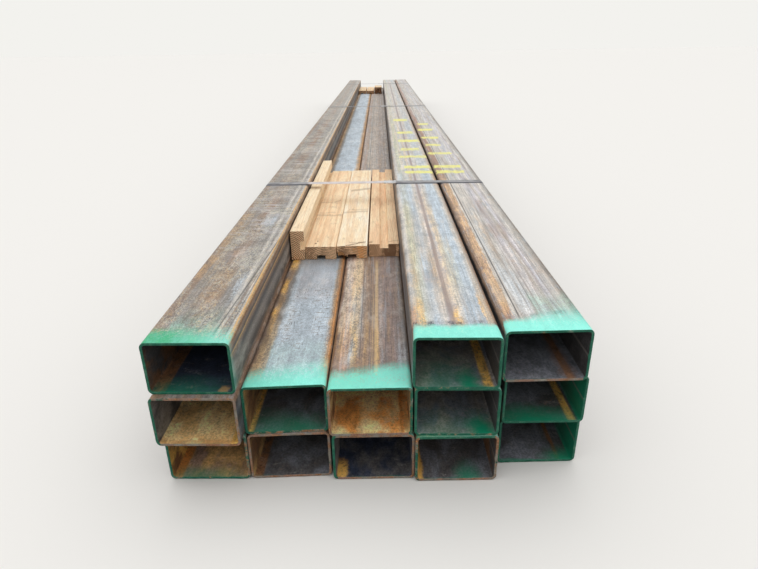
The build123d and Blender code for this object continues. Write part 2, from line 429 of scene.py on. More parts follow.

# Patches on a tube's top: colour, from and to across it, from and to along it, and strength
# The wide pale patches that run to the far end are partly painted sheen, making the far tops paler
PATCHES = {
    "tube_top_1": (
        ("ochre_rust", 0.06, 0.26, 0.28, 0.78, 0.45), ("ochre_rust", 0.30, 0.60, 0.16, 0.34, 0.3),
        ("pale_scale_and_sheen", 0.44, 0.76, 0.34, 0.47, 0.5), ("blue_scale", 0.70, 0.80, 0.16, 0.31, 0.8),
        ("pale_scale_and_sheen", 0.20, 0.72, 0.52, 0.56, 0.6), ("blue_scale", 0.50, 0.74, 0.64, 0.76, 0.7),
        ("pale_scale_and_sheen", 0.30, 0.70, 0.78, 0.81, 0.7), ("pale_scale_and_sheen", 0.35, 0.80, 0.94, 1.08, 0.5),
        ("pale_scale_and_sheen", 0.10, 0.70, 1.30, 1.42, 0.5), ("pale_scale_and_sheen", 0.30, 0.90, 1.75, 1.95, 0.5),
        ("paint_haze", 0.22, 0.80, 0.00, 0.085, 0.7), ("teal_scale", 0.30, 0.76, 0.06, 0.13, 0.4),
        ("pale_scale_and_sheen", 0.10, 0.90, 3.0, 7.4, 0.35),
    ),
    "tube_middle_2": (
        ("amber_rust", 0.04, 0.10, 0.28, 0.34, 0.8), ("amber_rust", 0.04, 0.12, 0.41, 0.47, 0.9),
        ("amber_rust", 0.04, 0.18, 0.57, 0.66, 1.0), ("tan_rust", 0.05, 0.22, 0.03, 0.24, 0.45),
        ("amber_rust", 0.06, 0.14, 0.20, 0.66, 0.4), ("tan_rust", 0.88, 0.97, 0.06, 0.64, 0.3),
        ("blue_scale", 0.30, 0.92, 0.08, 0.33, 0.8), ("grey_scale", 0.15, 0.92, 0.58, 0.70, 0.75),
        ("grey_scale", 0.24, 0.50, 0.40, 0.60, 0.3), ("lilac_scale", 0.30, 0.85, 0.36, 0.56, 0.5),
        ("orange_rust", 0.92, 0.99, 0.10, 0.20, 0.4), ("paint_haze", 0.2, 0.95, 0.02, 0.15, 0.25),
        ("ochre_rust", 0.85, 1.02, 1.6, 7.4, 0.6), ("dark_scale", 0.00, 0.11, 0.13, 0.26, 0.6),
        ("dark_scale", 0.03, 0.12, 0.34, 0.40, 0.6), ("slate_scale", 0.01, 0.13, 0.49, 0.56, 0.7),
        ("slate_scale", 0.30, 0.98, 0.40, 0.64, 0.35), ("ochre_rust", 0.00, 0.13, 1.7, 7.4, 0.7),
    ),
    "tube_middle_3": (
        ("amber_rust", 0.28, 0.31, 0.15, 0.27, 0.9), ("tan_rust", 0.26, 0.33, 0.08, 0.22, 0.6),
        ("amber_rust", 0.57, 0.60, 0.06, 0.24, 0.7), ("pale_scale_and_sheen", 0.31, 0.35, 0.20, 0.44, 0.6),
        ("orange_rust", 0.09, 0.17, 0.17, 0.36, 0.45), ("ochre_rust", 0.42, 0.45, 0.07, 0.26, 0.5),
        ("pale_scale_and_sheen", 0.19, 0.33, 0.33, 0.64, 0.7), ("pale_scale_and_sheen", 0.22, 0.31, 0.24, 0.38, 0.6),
        ("blue_scale", 0.19, 0.27, 0.09, 0.18, 0.6), ("pale_scale_and_sheen", 0.05, 0.95, 1.6, 7.4, 0.6),
        ("pale_scale_and_sheen", 0.37, 0.40, 0.18, 0.60, 0.4), ("blue_scale", 0.84, 1.0, 0.06, 0.16, 0.4),
        ("rust_brown", 0.02, 0.12, 0.05, 0.16, 0.6), ("pale_scale_and_sheen", 0.62, 0.66, 0.10, 0.5, 0.3),
        ("tan_rust", 0.06, 0.20, 0.12, 0.62, 0.35), ("pale_scale_and_sheen", 0.06, 0.20, 0.20, 0.64, 0.5),
        ("tan_rust", 0.19, 0.33, 0.16, 0.64, 0.5), ("brown_scale", 0.10, 0.24, 1.7, 7.4, 0.6),
        ("brown_scale", 0.58, 0.70, 1.7, 7.4, 0.5),
    ),
    "tube_top_4": (
        ("amber_rust", 0.05, 0.17, 0.045, 0.15, 0.7), ("amber_rust", 0.50, 0.59, 0.035, 0.11, 0.8),
        ("amber_rust", 0.86, 0.90, 0.05, 0.16, 0.8), ("rust_brown", 0.24, 0.42, 0.22, 0.30, 0.4),
        ("purple_brown", 0.10, 0.20, 0.22, 0.30, 0.4), ("ochre_rust", 0.08, 0.16, 0.14, 0.42, 0.35),
        ("tan_rust", 0.56, 0.66, 0.11, 0.8, 0.4), ("blue_scale", 0.72, 0.84, 0.15, 1.0, 0.5),
        ("brown_scale", 0.36, 0.47, 0.08, 0.40, 0.4), ("blue_scale", 0.08, 0.32, 0.85, 1.30, 0.7),
        ("ochre_rust", 0.20, 0.34, 0.40, 0.75, 0.25), ("orange_rust", 0.0, 0.07, 0.045, 0.13, 0.7),
        ("pale_scale_and_sheen", 0.20, 0.80, 0.13, 0.22, 0.4), ("green_scale", 0.6, 0.75, 0.2, 0.5, 0.5),
        ("tan_rust", 0.20, 0.40, 1.1, 6.8, 0.35), ("pale_scale_and_sheen", 0.5, 0.9, 1.3, 6.8, 0.5),
        ("tan_rust", 0.42, 0.58, 0.14, 1.0, 0.3), ("pale_scale_and_sheen", 0.02, 0.98, 3.0, 7.4, 0.55),
    ),
    "tube_top_5": (
        ("tan_rust", 0.06, 0.18, 0.05, 1.20, 0.5), ("brown_scale", 0.40, 0.74, 0.50, 0.62, 0.5),
        ("purple_brown", 0.44, 0.70, 0.70, 0.86, 0.4), ("blue_scale", 0.26, 0.44, 0.06, 0.35, 0.5),
        ("grey_scale", 0.46, 0.50, 0.10, 0.30, 0.6), ("brown_scale", 0.84, 1.0, 0.10, 0.40, 0.35),
        ("rust_brown", 0.65, 0.68, 0.24, 0.51, 0.5), ("pale_scale_and_sheen", 0.50, 0.62, 0.12, 0.42, 0.6),
        ("paint_haze", 0.45, 1.0, 0.05, 0.15, 0.5), ("ochre_rust", 0.34, 0.40, 0.3, 0.7, 0.3),
        ("pale_scale_and_sheen", 0.10, 0.95, 3.2, 7.4, 0.4),
    ),
}

# Long lines on a tube's top: across at their near and far ends, from and to along, width, colour
# and strength
LINES = {
    "tube_top_1": (
        (0.78, 0.97, 0.03, 0.54, 0.016, "dark_scale", 0.75),
        (0.91, 0.99, 0.02, 0.58, 0.014, "dark_scale", 0.6),
        (0.84, 0.97, 0.03, 0.44, 0.010, "brown_scale", 0.7),
        (0.74, 0.95, 0.02, 0.62, 0.014, "pale_scale_and_sheen", 0.5),
        (0.965, 0.975, 0.02, 6.0, 0.014, "amber_rust", 0.7),
    ),
    "tube_middle_2": ((0.955, 0.96, 0.08, 6.0, 0.008, "rust_brown", 0.6),),
    "tube_middle_3": (
        (0.36, 0.36, 0.10, 0.62, 0.008, "dark_scale", 0.6),
        (0.48, 0.48, 0.07, 0.66, 0.006, "dark_scale", 0.5),
        (0.70, 0.70, 0.08, 2.0, 0.008, "dark_scale", 0.4),
        (0.52, 0.52, 0.06, 0.40, 0.006, "tan_rust", 0.5),
        (0.575, 0.570, 0.05, 0.62, 0.036, "tan_rust", 0.5),
        (0.43, 0.43, 0.60, 6.0, 0.016, "pale_scale_and_sheen", 0.5),
        (0.30, 0.31, 1.6, 7.2, 0.024, "dark_scale", 0.45),
        (0.80, 0.79, 1.6, 7.2, 0.030, "rust_brown", 0.4),
    ),
    "tube_top_4": (
        (0.485, 0.50, 0.03, 6.5, 0.045, "purple_brown", 0.75),
        (0.93, 0.93, 0.05, 3.0, 0.008, "ochre_rust", 0.5),
    ),
    "tube_top_5": (
        (0.225, 0.225, 0.05, 6.5, 0.014, "dark_scale", 0.9),
        (0.245, 0.245, 0.05, 6.5, 0.010, "pale_scale_and_sheen", 0.6),
        (0.47, 0.47, 0.11, 0.25, 0.008, "dark_scale", 0.6),
        (0.53, 0.53, 0.09, 0.6, 0.008, "purple_brown", 0.6),
        (0.40, 0.40, 0.07, 4.0, 0.006, "purple_brown", 0.5),
        (0.78, 0.78, 0.09, 4.0, 0.006, "brown_scale", 0.5),
    ),
}

# Strength of each kind of weathering. For the marking paint: where it covers half, at the left
# and right edges, how wide its fade is there, how much is deep green, how thick it is, how much
# rust breaks through it, and the dirt along its edge. Warm is the colour of the warmer streaks.
# A tube whose top is covered has the first of these, and the others have what differs from it.
COVERED_WEAR = dict(streaks=0.6, mottle=0.8, rust=0.4, swirls=False, ticks=False, wander=0.6,
                    reach=(0.02, 0.02), soft=(0.02, 0.02), deep=0.8, paint=0.6, holes=0.6,
                    dirt=0.3, warm="ochre_rust")
WEAR = {
    "tube_top_1": dict(streaks=0.3, mottle=0.9, rust=0.22, swirls=True, wander=0.3,
                       reach=(0.044, 0.030), soft=(0.020, 0.038), deep=1.0, paint=0.95, holes=0.4,
                       dirt=0.0),
    "tube_middle_2": dict(streaks=0.0, mottle=0.7, rust=0.15, ticks=True, wander=0.4,
                          reach=(0.038, 0.060), soft=(0.034, 0.050), deep=0.2, paint=1.0,
                          holes=0.25, dirt=0.0),
    "tube_middle_3": dict(streaks=0.7, mottle=0.9, rust=0.35, wander=0.8, reach=(0.046, 0.076),
                          soft=(0.026, 0.022), deep=0.25, paint=1.0, holes=0.4),
    "tube_top_4": dict(streaks=0.5, mottle=1.0, rust=0.3, wander=0.7, reach=(0.044, 0.043),
                       soft=(0.009, 0.012), deep=0.12, paint=1.0, holes=0.25, dirt=0.9),
    "tube_top_5": dict(streaks=1.0, rust=0.25, wander=0.3, reach=(0.040, 0.066),
                       soft=(0.010, 0.045), deep=0.0, paint=1.0, holes=0.3, dirt=0.6,
                       warm="brown_scale"),
}
UNPAINTED_TOPS = ("tube_middle_1", "tube_bottom_2")
# Tubes under the channel get no painted strap shadow and grime
CLEAR_OF_STRAPS = ("tube_middle_2", "tube_middle_3", "tube_middle_4")

# Plain crosswise bars of yellow paint: from and to along the tube, then across it
BARS = {
    "tube_top_4": (
        (1.28, 1.33, 0.28, 0.98), (1.38, 1.43, 0.28, 0.98), (1.60, 1.65, 0.22, 0.98),
        (1.78, 1.84, 0.30, 0.86), (2.02, 2.09, 0.26, 0.96), (2.30, 2.38, 0.28, 0.84),
        (2.84, 2.95, 0.24, 0.80),
    ),
    "tube_top_5": (
        (1.26, 1.31, 0.02, 0.72), (1.36, 1.41, 0.02, 0.72), (1.65, 1.70, 0.03, 0.70),
        (1.87, 1.93, 0.06, 0.52), (2.09, 2.16, 0.04, 0.60), (2.38, 2.46, 0.05, 0.58),
        (2.62, 2.70, 0.12, 0.55),
    ),
}

# How much of each rim the paint still covers: left, top, right and bottom
RIMS = {
    "tube_top_1": (0.95, 1.0, 0.9, 0.95), "tube_top_4": (0.85, 1.0, 0.9, 0.7),
    "tube_top_5": (0.6, 0.75, 1.0, 0.1), "tube_middle_1": (0.7, 0.3, 0.1, 0.1),
    "tube_middle_2": (0.85, 1.0, 0.7, 0.5), "tube_middle_3": (0.35, 0.8, 0.6, 0.2),
    "tube_middle_4": (0.7, 0.9, 0.9, 0.6), "tube_middle_5": (0.9, 0.8, 1.0, 1.0),
    "tube_bottom_1": (0.95, 0.7, 0.5, 0.7), "tube_bottom_2": (0.15, 0.3, 0.3, 0.1),
    "tube_bottom_3": (0.9, 0.35, 0.2, 0.2), "tube_bottom_4": (0.5, 0.85, 0.3, 0.05),
    "tube_bottom_5": (0.8, 1.0, 1.0, 1.0),
}

# Inside each near end: the floor's two colours, the walls' colours, a strip along the floor
# from and to across it, patches of overspray as middle, width, reach and strength, and crusts of
# loose scale as middle, width, reach, strength and colour. Each has what differs from a plain one.
PLAIN_BORE = dict(floor=("slate_scale", "dark_scale"), left="dark_scale", right="dark_scale",
                  spray=(), crust=())
BORES = {
    "tube_top_1": dict(floor=("navy_scale_and_shadow", "navy_scale_and_shadow"), left="rust_brown",
                       strip=(0.0, 0.17, "rust_brown"), spray=((0.4, 1.3, 0.05, 0.45),),
                       crust=((0.88, 0.16, 0.016, 0.7, "ochre_rust"),)),
    "tube_middle_1": dict(floor=("tan_rust", "ochre_rust"), left="grey_scale", right="rust_brown",
                          strip=(0.9, 1.0, "amber_rust"),
                          crust=((0.5, 1.3, 0.010, 0.5, "orange_rust"),)),
    "tube_bottom_1": dict(floor=("ochre_rust", "brown_scale"), left="amber_rust",
                          right="ochre_rust", strip=(0.0, 0.12, "orange_rust"),
                          spray=((0.4, 1.2, 0.03, 0.6),)),
    "tube_middle_2": dict(left="ochre_rust", strip=(0.0, 0.07, "amber_rust"),
                          spray=((0.4, 1.1, 0.07, 0.6), (0.8, 0.5, 0.05, 0.5))),
    "tube_bottom_2": dict(left="ochre_rust", right="rust_brown", strip=(0.0, 0.12, "rust_brown")),
    "tube_middle_3": dict(floor=("tan_rust", "orange_rust"), left="tan_rust", right="tan_rust",
                          strip=(0.88, 0.93, "orange_rust"),
                          crust=((0.97, 0.1, 0.05, 0.6, "ochre_rust"),)),
    "tube_bottom_3": dict(floor=("navy_scale_and_shadow", "dark_scale"), left="grey_scale",
                          right="navy_scale_and_shadow", strip=(0.0, 0.02, "navy_scale_and_shadow"),
                          crust=((0.06, 0.20, 0.035, 1.0, "amber_rust"),)),
    "tube_top_4": dict(floor=("grey_scale", "slate_scale"), strip=(0.83, 0.95, "amber_rust"),
                       spray=((0.66, 0.30, 0.07, 0.95), (0.3, 1.1, 0.12, 0.5))),
    "tube_middle_4": dict(floor=("grey_scale", "slate_scale"), strip=(0.84, 0.86, "grey_scale"),
                          spray=((0.84, 0.42, 0.07, 1.0), (0.4, 1.2, 0.08, 0.35))),
    "tube_bottom_4": dict(left="orange_rust", right="rust_brown", strip=(0.0, 0.06, "amber_rust"),
                          spray=((0.68, 0.4, 0.05, 0.7),),
                          crust=((0.03, 0.12, 0.06, 0.8, "amber_rust"),)),
    "tube_top_5": dict(floor=("slate_scale", "slate_scale"), strip=(0.78, 0.88, "rust_brown"),
                       crust=((0.82, 0.26, 0.14, 0.3, "pink_rust"),)),
    "tube_middle_5": dict(strip=(0.84, 0.94, "amber_rust"), spray=((0.35, 1.6, 0.05, 0.95),)),
    "tube_bottom_5": dict(strip=(0.78, 0.84, "rust_brown"), spray=((0.95, 0.7, 0.04, 0.9),)),
}
RIGHT_WALL_PAINTED = ("tube_middle_5", "tube_bottom_5")


class TubeSkin(Finish):
    """The weathered outside of a tube, with its bars and the paint sprayed at its near end."""

    def __init__(self, tube, settings, seed):
        super().__init__(tube.node + "_outside", settings, tube.origin(), seed)
        self.tube = tube
        self.wear = COVERED_WEAR | WEAR.get(tube.node, {})
        self.drift = self.grain((0.03, 0.7, 0.03), 2)
        self.fibre = self.grain((0.0032, 0.10, 0.0032), 5, 0.65, 0.15)
        self.broad = self.grain((0.008, 0.35, 0.008), 4, 0.55)
        self.mottle = self.grain((0.022, 0.042, 0.022), 8, 0.7, 0.2)
        self.cloud = self.grain((0.045, 0.14, 0.045), 5, 0.6, 0.4)
        self.fleck = self.grain((0.0036, 0.0055, 0.0036), 4, 0.8)
        self.speck = self.grain((0.0016, 0.0024, 0.0016), 3, 0.8)
        self.share_across = self.share(self.across, tube.width)
        self.on_top = self.fade(self.up, tube.height / 2 - 8 * MM, tube.height / 2 - 1.5 * MM)
        self.ragged_across = self.add(
            self.share_across, self.sway(self.mottle, 0.16), self.sway(self.fibre, 0.08)
        )
        self.ragged_along = self.add(
            self.along, self.sway(self.cloud, 0.10), self.sway(self.fleck, 0.05)
        )
        self.broken = self.fade(
            self.add(self.fleck, self.sway(self.mottle, 0.8)), 0.36, 0.56, 0.25, 1.0
        )

    def finished(self):
        steel = self.rusted(self.weathered(self.scale()))
        if self.wear["swirls"]:
            steel = self.swirled(steel)
        if self.wear["ticks"]:
            steel = self.ticked(steel)
        steel = self.lined(steel)
        # Painted shadow and grime along the straps
        if self.tube.node not in CLEAR_OF_STRAPS:
            steel = self.strap_shadow_and_grime(steel)
        steel = self.barred(steel)
        if self.tube.node not in UNPAINTED_TOPS:
            steel = self.painted(steel)
        rough = self.fade(self.mottle, 0.3, 0.7, 0.42, 0.62)
        bump = ((self.fleck, 0.14 * MM), (self.mottle, 0.2 * MM))
        return self.done(steel, rough, bump, shine=0.45)

    def scale(self):
        """The colours across the top, with its patches, and those up the side walls."""
        wander = self.add(
            self.sway(self.drift, 0.10 * self.wear["wander"]),
            self.sway(self.fibre, 0.03 + 0.05 * self.wear["streaks"]),
            self.sway(self.mottle, 0.09), self.sway(self.cloud, 0.05 * self.wear["wander"]),
        )
        top = self.ramp(self.add(self.share_across, wander), TOPS.get(self.tube.node, PLAIN_TOP))
        for name, left, right, start, end, strength in PATCHES.get(self.tube.node, ()):
            patch = self.times(
                self.band(self.ragged_across, left, right, 0.05), self.broken, strength,
                self.band(self.ragged_along, start, end, min(0.12, 0.6 * (end - start))),
            )
            top = self.mix(patch, top, name)
        up = self.add(
            self.share(self.up, self.tube.height), self.sway(self.cloud, 0.07),
            self.sway(self.mottle, 0.05),
        )
        side = self.ramp(up, SIDES.get(self.tube.node, PLAIN_SIDES))
        return self.mix(self.on_top, side, top)

    def weathered(self, steel):
        """Mottled, streaked along the tube in warm and cold tones, and dusty in patches."""
        streaks = self.wear["streaks"]
        steel = self.varied(steel, self.mottle, 0.28 * self.wear["mottle"])
        along_top = self.fade(self.on_top, 0, 1, 0.25, 1)
        for pattern, amount in ((self.fibre, 0.08 + 0.22 * streaks),
                                (self.broad, 0.06 + 0.12 * streaks)):
            steel = self.mix(along_top, steel, self.varied(steel, pattern, amount))
        warm = self.add(self.grain((0.011, 0.30, 0.011), 5, 0.62), self.sway(self.mottle, 0.3))
        hue = self.times(self.on_top, 0.42 * streaks)
        steel = self.mix(self.times(self.fade(warm, 0.52, 0.66), hue), steel, self.wear["warm"])
        steel = self.mix(self.times(self.fade(warm, 0.48, 0.34), hue), steel, "blue_scale")
        steel = self.varied(steel, self.fleck, 0.30)
        steel = self.varied(steel, self.speck, 0.28)
        dusty = self.fade(self.add(self.cloud, self.sway(self.mottle, 0.6)), 0.50, 0.72,
                          0, 0.4 * self.wear["mottle"])
        return self.mix(dusty, steel, "pale_scale_and_sheen")

    def rusted(self, steel):
        """Rust in spots and blotches, with more of it near the long edges."""
        to_edge = self.number(
            "SUBTRACT", self.tube.width / 2, self.number("ABSOLUTE", self.across)
        )
        by_edge = self.fade(to_edge, 2 * MM, 20 * MM, 0.10, 0)
        rusting = self.add(self.mottle, by_edge, self.sway(self.cloud, -0.5),
                           self.sway(self.fleck, 0.4), self.sway(self.speck, 0.3))
        stained = self.fade(rusting, 0.60, 0.76, 0, self.wear["rust"])
        stained = self.times(stained, self.fade(self.on_top, 0, 1, 0.45, 1))
        rust = self.mix(self.fade(self.fleck, 0.4, 0.62), "rust_brown", "ochre_rust")
        rust = self.mix(self.fade(self.drift, 0.45, 0.7, 0, 0.7), rust, "orange_rust")
        return self.mix(stained, steel, rust)

    def swirled(self, steel):
        """Curling marks in the scale, and crosswise smears further along."""
        eddy = self.grain((0.013, 0.024, 0.013), 4, 0.62, 1.8)
        curl = self.grain((0.020, 0.034, 0.020), 4, 0.6, 2.4)
        patch = self.times(self.fade(self.cloud, 0.30, 0.55), self.on_top)
        bright = self.fade(self.add(self.fleck, self.sway(self.cloud, 1.2)), 0.40, 0.62)
        for pattern, level, width, name, strength in (
            (eddy, 0.50, 0.035, "pale_scale_and_sheen", 0.9), (eddy, 0.44, 0.030, "dark_scale", 0.85),
            (curl, 0.55, 0.030, "green_scale", 0.9), (curl, 0.45, 0.026, "dark_scale", 0.8),
            (eddy, 0.60, 0.030, "tan_rust", 0.7),
        ):
            line = self.times(self.lines(pattern, level, width), patch, bright, strength)
            steel = self.mix(line, steel, name)
        smear = self.grain((0.09, 0.016, 0.09), 5, 0.62, 0.8)
        far = self.fade(self.along, 0.3, 0.7, 0.1, 0.7)
        smeared = self.times(self.fade(smear, 0.52, 0.66), far, self.on_top, self.broken)
        steel = self.mix(smeared, steel, "lilac_scale")
        sunken = self.times(self.fade(smear, 0.44, 0.34), far, self.on_top, 0.6)
        return self.mix(sunken, steel, "dark_scale")

    def ticked(self, steel):
        """Short dashes and scratches in the middle of the top, under a faint brushing."""
        dash = self.grain((0.015, 0.0050, 0.015), 4, 0.7)
        scratch = self.grain((0.0028, 0.018, 0.0028), 4, 0.7)
        brushed = self.grain((0.25, 0.0050, 0.25), 4, 0.7)
        worked = self.times(
            self.band(self.ragged_across, 0.26, 0.92, 0.2), self.on_top,
            self.band(self.ragged_along, 0.12, 0.46, 0.14), self.fade(self.cloud, 0.34, 0.56),
        )
        dashes = self.times(self.fade(dash, 0.53, 0.62), worked, 0.9)
        steel = self.mix(dashes, steel, "grey_scale")
        scratches = self.times(self.fade(scratch, 0.56, 0.64), worked, 0.75)
        steel = self.mix(scratches, steel, "dark_scale")
        steel = self.varied(steel, brushed, 0.05)
        return self.varied(steel, self.cloud, 0.18)

    def lined(self, steel):
        """The long lines down the top."""
        for at_near, at_far, start, end, width, name, strength in LINES.get(self.tube.node, ()):
            slant = (at_far - at_near) / (end - start)
            centre = self.number("MULTIPLY_ADD", self.along, slant, at_near - slant * start)
            centre = self.add(centre, self.sway(self.drift, 0.02), self.sway(self.fibre, 0.012))
            line = self.times(
                self.fade(self.away(self.share_across, centre), 0.3 * width, width, 1, 0),
                self.on_top, strength, self.band(self.along, start, end, 0.04),
                self.fade(self.fleck, 0.30, 0.5, 0.35, 1),
            )
            steel = self.mix(line, steel, name)
        return steel

    def strap_shadow_and_grime(self, steel):
        """Painted shadow and grime: a dark band on the tube along each strap, from just in front of it
        to just behind it.
        """
        ragged = self.add(self.along, self.sway(self.fleck, 0.008))
        for place in PLACES:
            low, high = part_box(f"strap_{place}")
            start, end = low.y - self.tube.near - 16 * MM, high.y - self.tube.near + 3 * MM
            shadow_and_grime = self.times(self.band(ragged, start, end, 6 * MM),
                               self.fade(self.on_top, 0, 1, 0.4, 0.9))
            steel = self.mix(shadow_and_grime, steel, "navy_scale_and_shadow")
        return steel

    def barred(self, steel):
        """Plain bars of worn yellow paint across the top."""
        for start, end, left, right in BARS.get(self.tube.node, ()):
            ragged = self.sway(self.grain((0.02, 0.02, 0.02), 4, 0.6), 0.05)
            aside = self.add(self.share_across, self.times(ragged, 4))
            bar = self.times(
                self.band(self.add(self.along, ragged), start, end, 0.012),
                self.band(aside, left, right, 0.04), self.on_top,
                self.fade(self.add(self.mottle, self.sway(self.fleck, 0.6)), 0.36, 0.54, 0.35, 0.92),
            )
            steel = self.mix(bar, steel, "yard_yellow")
        return steel

    def painted(self, steel):
        """Paint sprayed on the near end, which fades out in specks and lets some rust through."""
        wear = self.wear
        edge = self.grain((0.05, 0.05, 0.05), 2, 0.5)
        reach = self.times(self.fade(self.share_across, 0, 1, *wear["reach"]),
                           self.fade(self.on_top, 0, 1, 0.2, 1))
        soft = self.times(self.fade(self.share_across, 0, 1, *wear["soft"]),
                          self.fade(self.on_top, 0, 1, 0.4, 1))
        past = self.add(
            self.number("SUBTRACT", reach, self.along), self.sway(edge, 0.02),
            self.sway(self.mottle, 0.016), self.sway(self.fleck, 0.006),
        )
        depth = self.fade(self.number("DIVIDE", past, soft), -1.0, 1.0)
        dither = self.add(self.times(self.speck, 0.4), self.times(self.fleck, 0.6))
        middling = self.times(depth, self.rest(depth), 4)
        stipple = self.times(middling, self.number("SUBTRACT", 0.5, dither), 3.2)
        cover = self.number("ADD", depth, stipple, clamp=True)
        thick = self.fade(self.add(self.share_across, self.sway(edge, 0.3)), 0.25, 0.95, 1.0, 0.25)
        deep = self.times(thick, self.fade(self.mottle, 0.3, 0.55, 0.6, 1.0), wear["deep"])
        # The pale mint of the marking paint is partly a painted sheen
        paint = self.mix(deep, "marking_paint_and_sheen", "deep_paint")
        for pattern in (self.mottle, dither):
            paint = self.varied(paint, pattern, 0.10)
        worn = self.add(dither, self.sway(self.mottle, 0.35))
        holes = self.times(self.fade(worn, 0.50, 0.60), self.fade(self.along, 0, 0.03, 0.1, 1),
                           wear["holes"])
        cover = self.times(cover, self.rest(holes), self.fade(self.on_top, 0, 1, 0.35, 1),
                           0.97 * wear["paint"])
        if wear["dirt"]:
            smudge = self.times(
                self.band(past, -0.016, 0.001, 0.010), self.fade(self.mottle, 0.42, 0.56),
                self.fade(self.fleck, 0.35, 0.55), self.on_top, wear["dirt"],
            )
            steel = self.mix(smudge, steel, "navy_scale_and_shadow")
        return self.mix(cover, steel, paint)


def bore_skin(tube, settings, seed):
    """The inside of a tube: dark scale, rusty strips, overspray near the mouth, and painted light on
    the floor near the mouth that turns to painted shade deeper in.
    """
    bore = Finish(tube.node + "_inside", settings, tube.origin(), seed + 40)
    look = PLAIN_BORE | BORES[tube.node]
    half_width = tube.width / 2 - settings.wall
    half_height = tube.height / 2 - settings.wall
    fibre = bore.grain((0.005, 0.10, 0.005), 4, 0.6)
    mottle = bore.grain((0.022, 0.034, 0.022), 7, 0.74, 0.4)
    cloud = bore.grain((0.045, 0.07, 0.045), 3, 0.5, 0.4)
    fleck = bore.grain((0.004, 0.005, 0.004), 4, 0.7)
    share_across = bore.share(bore.across, 2 * half_width)
    blotch = bore.fade(bore.add(cloud, bore.sway(mottle, 0.5)), 0.38, 0.62)

    on_left = bore.fade(bore.across, 4 * MM - half_width, 1 * MM - half_width)
    on_right = bore.fade(bore.across, half_width - 6 * MM, half_width - 2 * MM)
    on_floor = bore.fade(bore.up, 3 * MM - half_height, 1 * MM - half_height)
    steel = bore.mix(blotch, "navy_scale_and_shadow", "dark_scale")
    for on_wall, name in ((on_left, look["left"]), (on_right, look["right"])):
        partner = "rust_brown" if name.endswith("_rust") else "dark_scale"
        steel = bore.mix(on_wall, steel, bore.mix(blotch, name, partner))
    # Painted light and shade: the floor is lighter near the mouth and darker deeper in
    painted_mouth_light = bore.fade(bore.along, 0.02, 0.4, 1.3, 0.72)
    floor = bore.mix(1.0, bore.mix(blotch, *look["floor"]), painted_mouth_light, "MULTIPLY")
    start, end, strip_name = look["strip"]
    wander = bore.add(bore.sway(fibre, 0.03), bore.sway(mottle, 0.03))
    strip = bore.times(
        bore.band(bore.add(share_across, wander), start, end, 0.04),
        bore.fade(mottle, 0.3, 0.52, 0.45, 1.0), bore.fade(bore.along, 0.05, 0.9, 1.0, 0.35),
    )
    steel = bore.mix(on_floor, steel, bore.mix(strip, floor, strip_name))
    for pattern, amount in ((mottle, 0.4), (fibre, 0.08), (fleck, 0.35)):
        steel = bore.varied(steel, pattern, amount)

    dust = bore.grain((0.05, 0.022, 0.05), 6, 0.66, 0.6)
    wisp = bore.times(bore.fade(dust, 0.54, 0.68), bore.fade(cloud, 0.40, 0.65), on_floor, 0.35,
                      bore.fade(fleck, 0.35, 0.6))
    steel = bore.mix(wisp, steel, "pale_scale_and_sheen")
    freckled = bore.fade(bore.add(fleck, bore.sway(cloud, 0.5)), 0.66, 0.74, 0, 0.5)
    steel = bore.mix(freckled, steel, "rust_brown")

    ragged = bore.grain((0.05, 0.03, 0.05), 5, 0.6)
    clumps = bore.grain((0.012, 0.014, 0.012), 5, 0.62, 0.5)

    def distance_from(middle, width, reach, back):
        """How far off a spot on the floor, in parts of its half width and of its reach."""
        aside = bore.number("DIVIDE", bore.number("SUBTRACT", share_across, middle), width / 2)
        beyond = bore.number("DIVIDE", bore.number("SUBTRACT", bore.along, back), reach)
        return bore.hypot(aside, beyond)

    for middle, width, reach, strength in look["spray"]:
        distance = bore.add(distance_from(middle, width, reach, 0), bore.sway(ragged, 1.0),
                            bore.sway(fleck, 0.4))
        mark = bore.times(bore.fade(distance, 1.35, 0.1), on_floor, strength)
        steel = bore.mix(mark, steel, "bore_paint")
    for middle, width, reach, strength, crust_name in look["crust"]:
        distance = bore.add(
            distance_from(middle, width, reach, 0.4 * reach), bore.sway(clumps, 1.5),
            bore.sway(ragged, 1.2), bore.sway(fleck, 0.8),
        )
        mark = bore.times(bore.fade(distance, 1.15, 0.55), on_floor, strength,
                          bore.fade(fleck, 0.30, 0.5, 0.5, 1))
        flakes = bore.mix(bore.fade(clumps, 0.32, 0.50), "rust_brown", crust_name)
        steel = bore.mix(mark, steel, flakes)
    if tube.node in RIGHT_WALL_PAINTED:
        sprayed = bore.fade(bore.add(bore.along, bore.sway(ragged, 0.08)), 0.02, 0.18, 0.9, 0)
        steel = bore.mix(bore.times(sprayed, on_right), steel, "bore_paint")
    painted_rim = sum(RIMS[tube.node]) / 4
    lip = bore.fade(bore.add(bore.along, bore.sway(ragged, 0.02)), 0.5 * MM, 4 * MM, painted_rim, 0)
    steel = bore.mix(bore.times(lip, 0.5), steel, "bore_paint")
    weld = bore.times(bore.band(bore.up, -2.4 * MM, 2.4 * MM, 1.5 * MM), on_right)
    steel = bore.mix(bore.times(weld, 0.6), steel, "grey_scale")
    rough = bore.fade(mottle, 0.3, 0.7, 0.5, 0.7)
    return bore.done(steel, rough, ((fleck, 0.15 * MM),), shine=0.3)


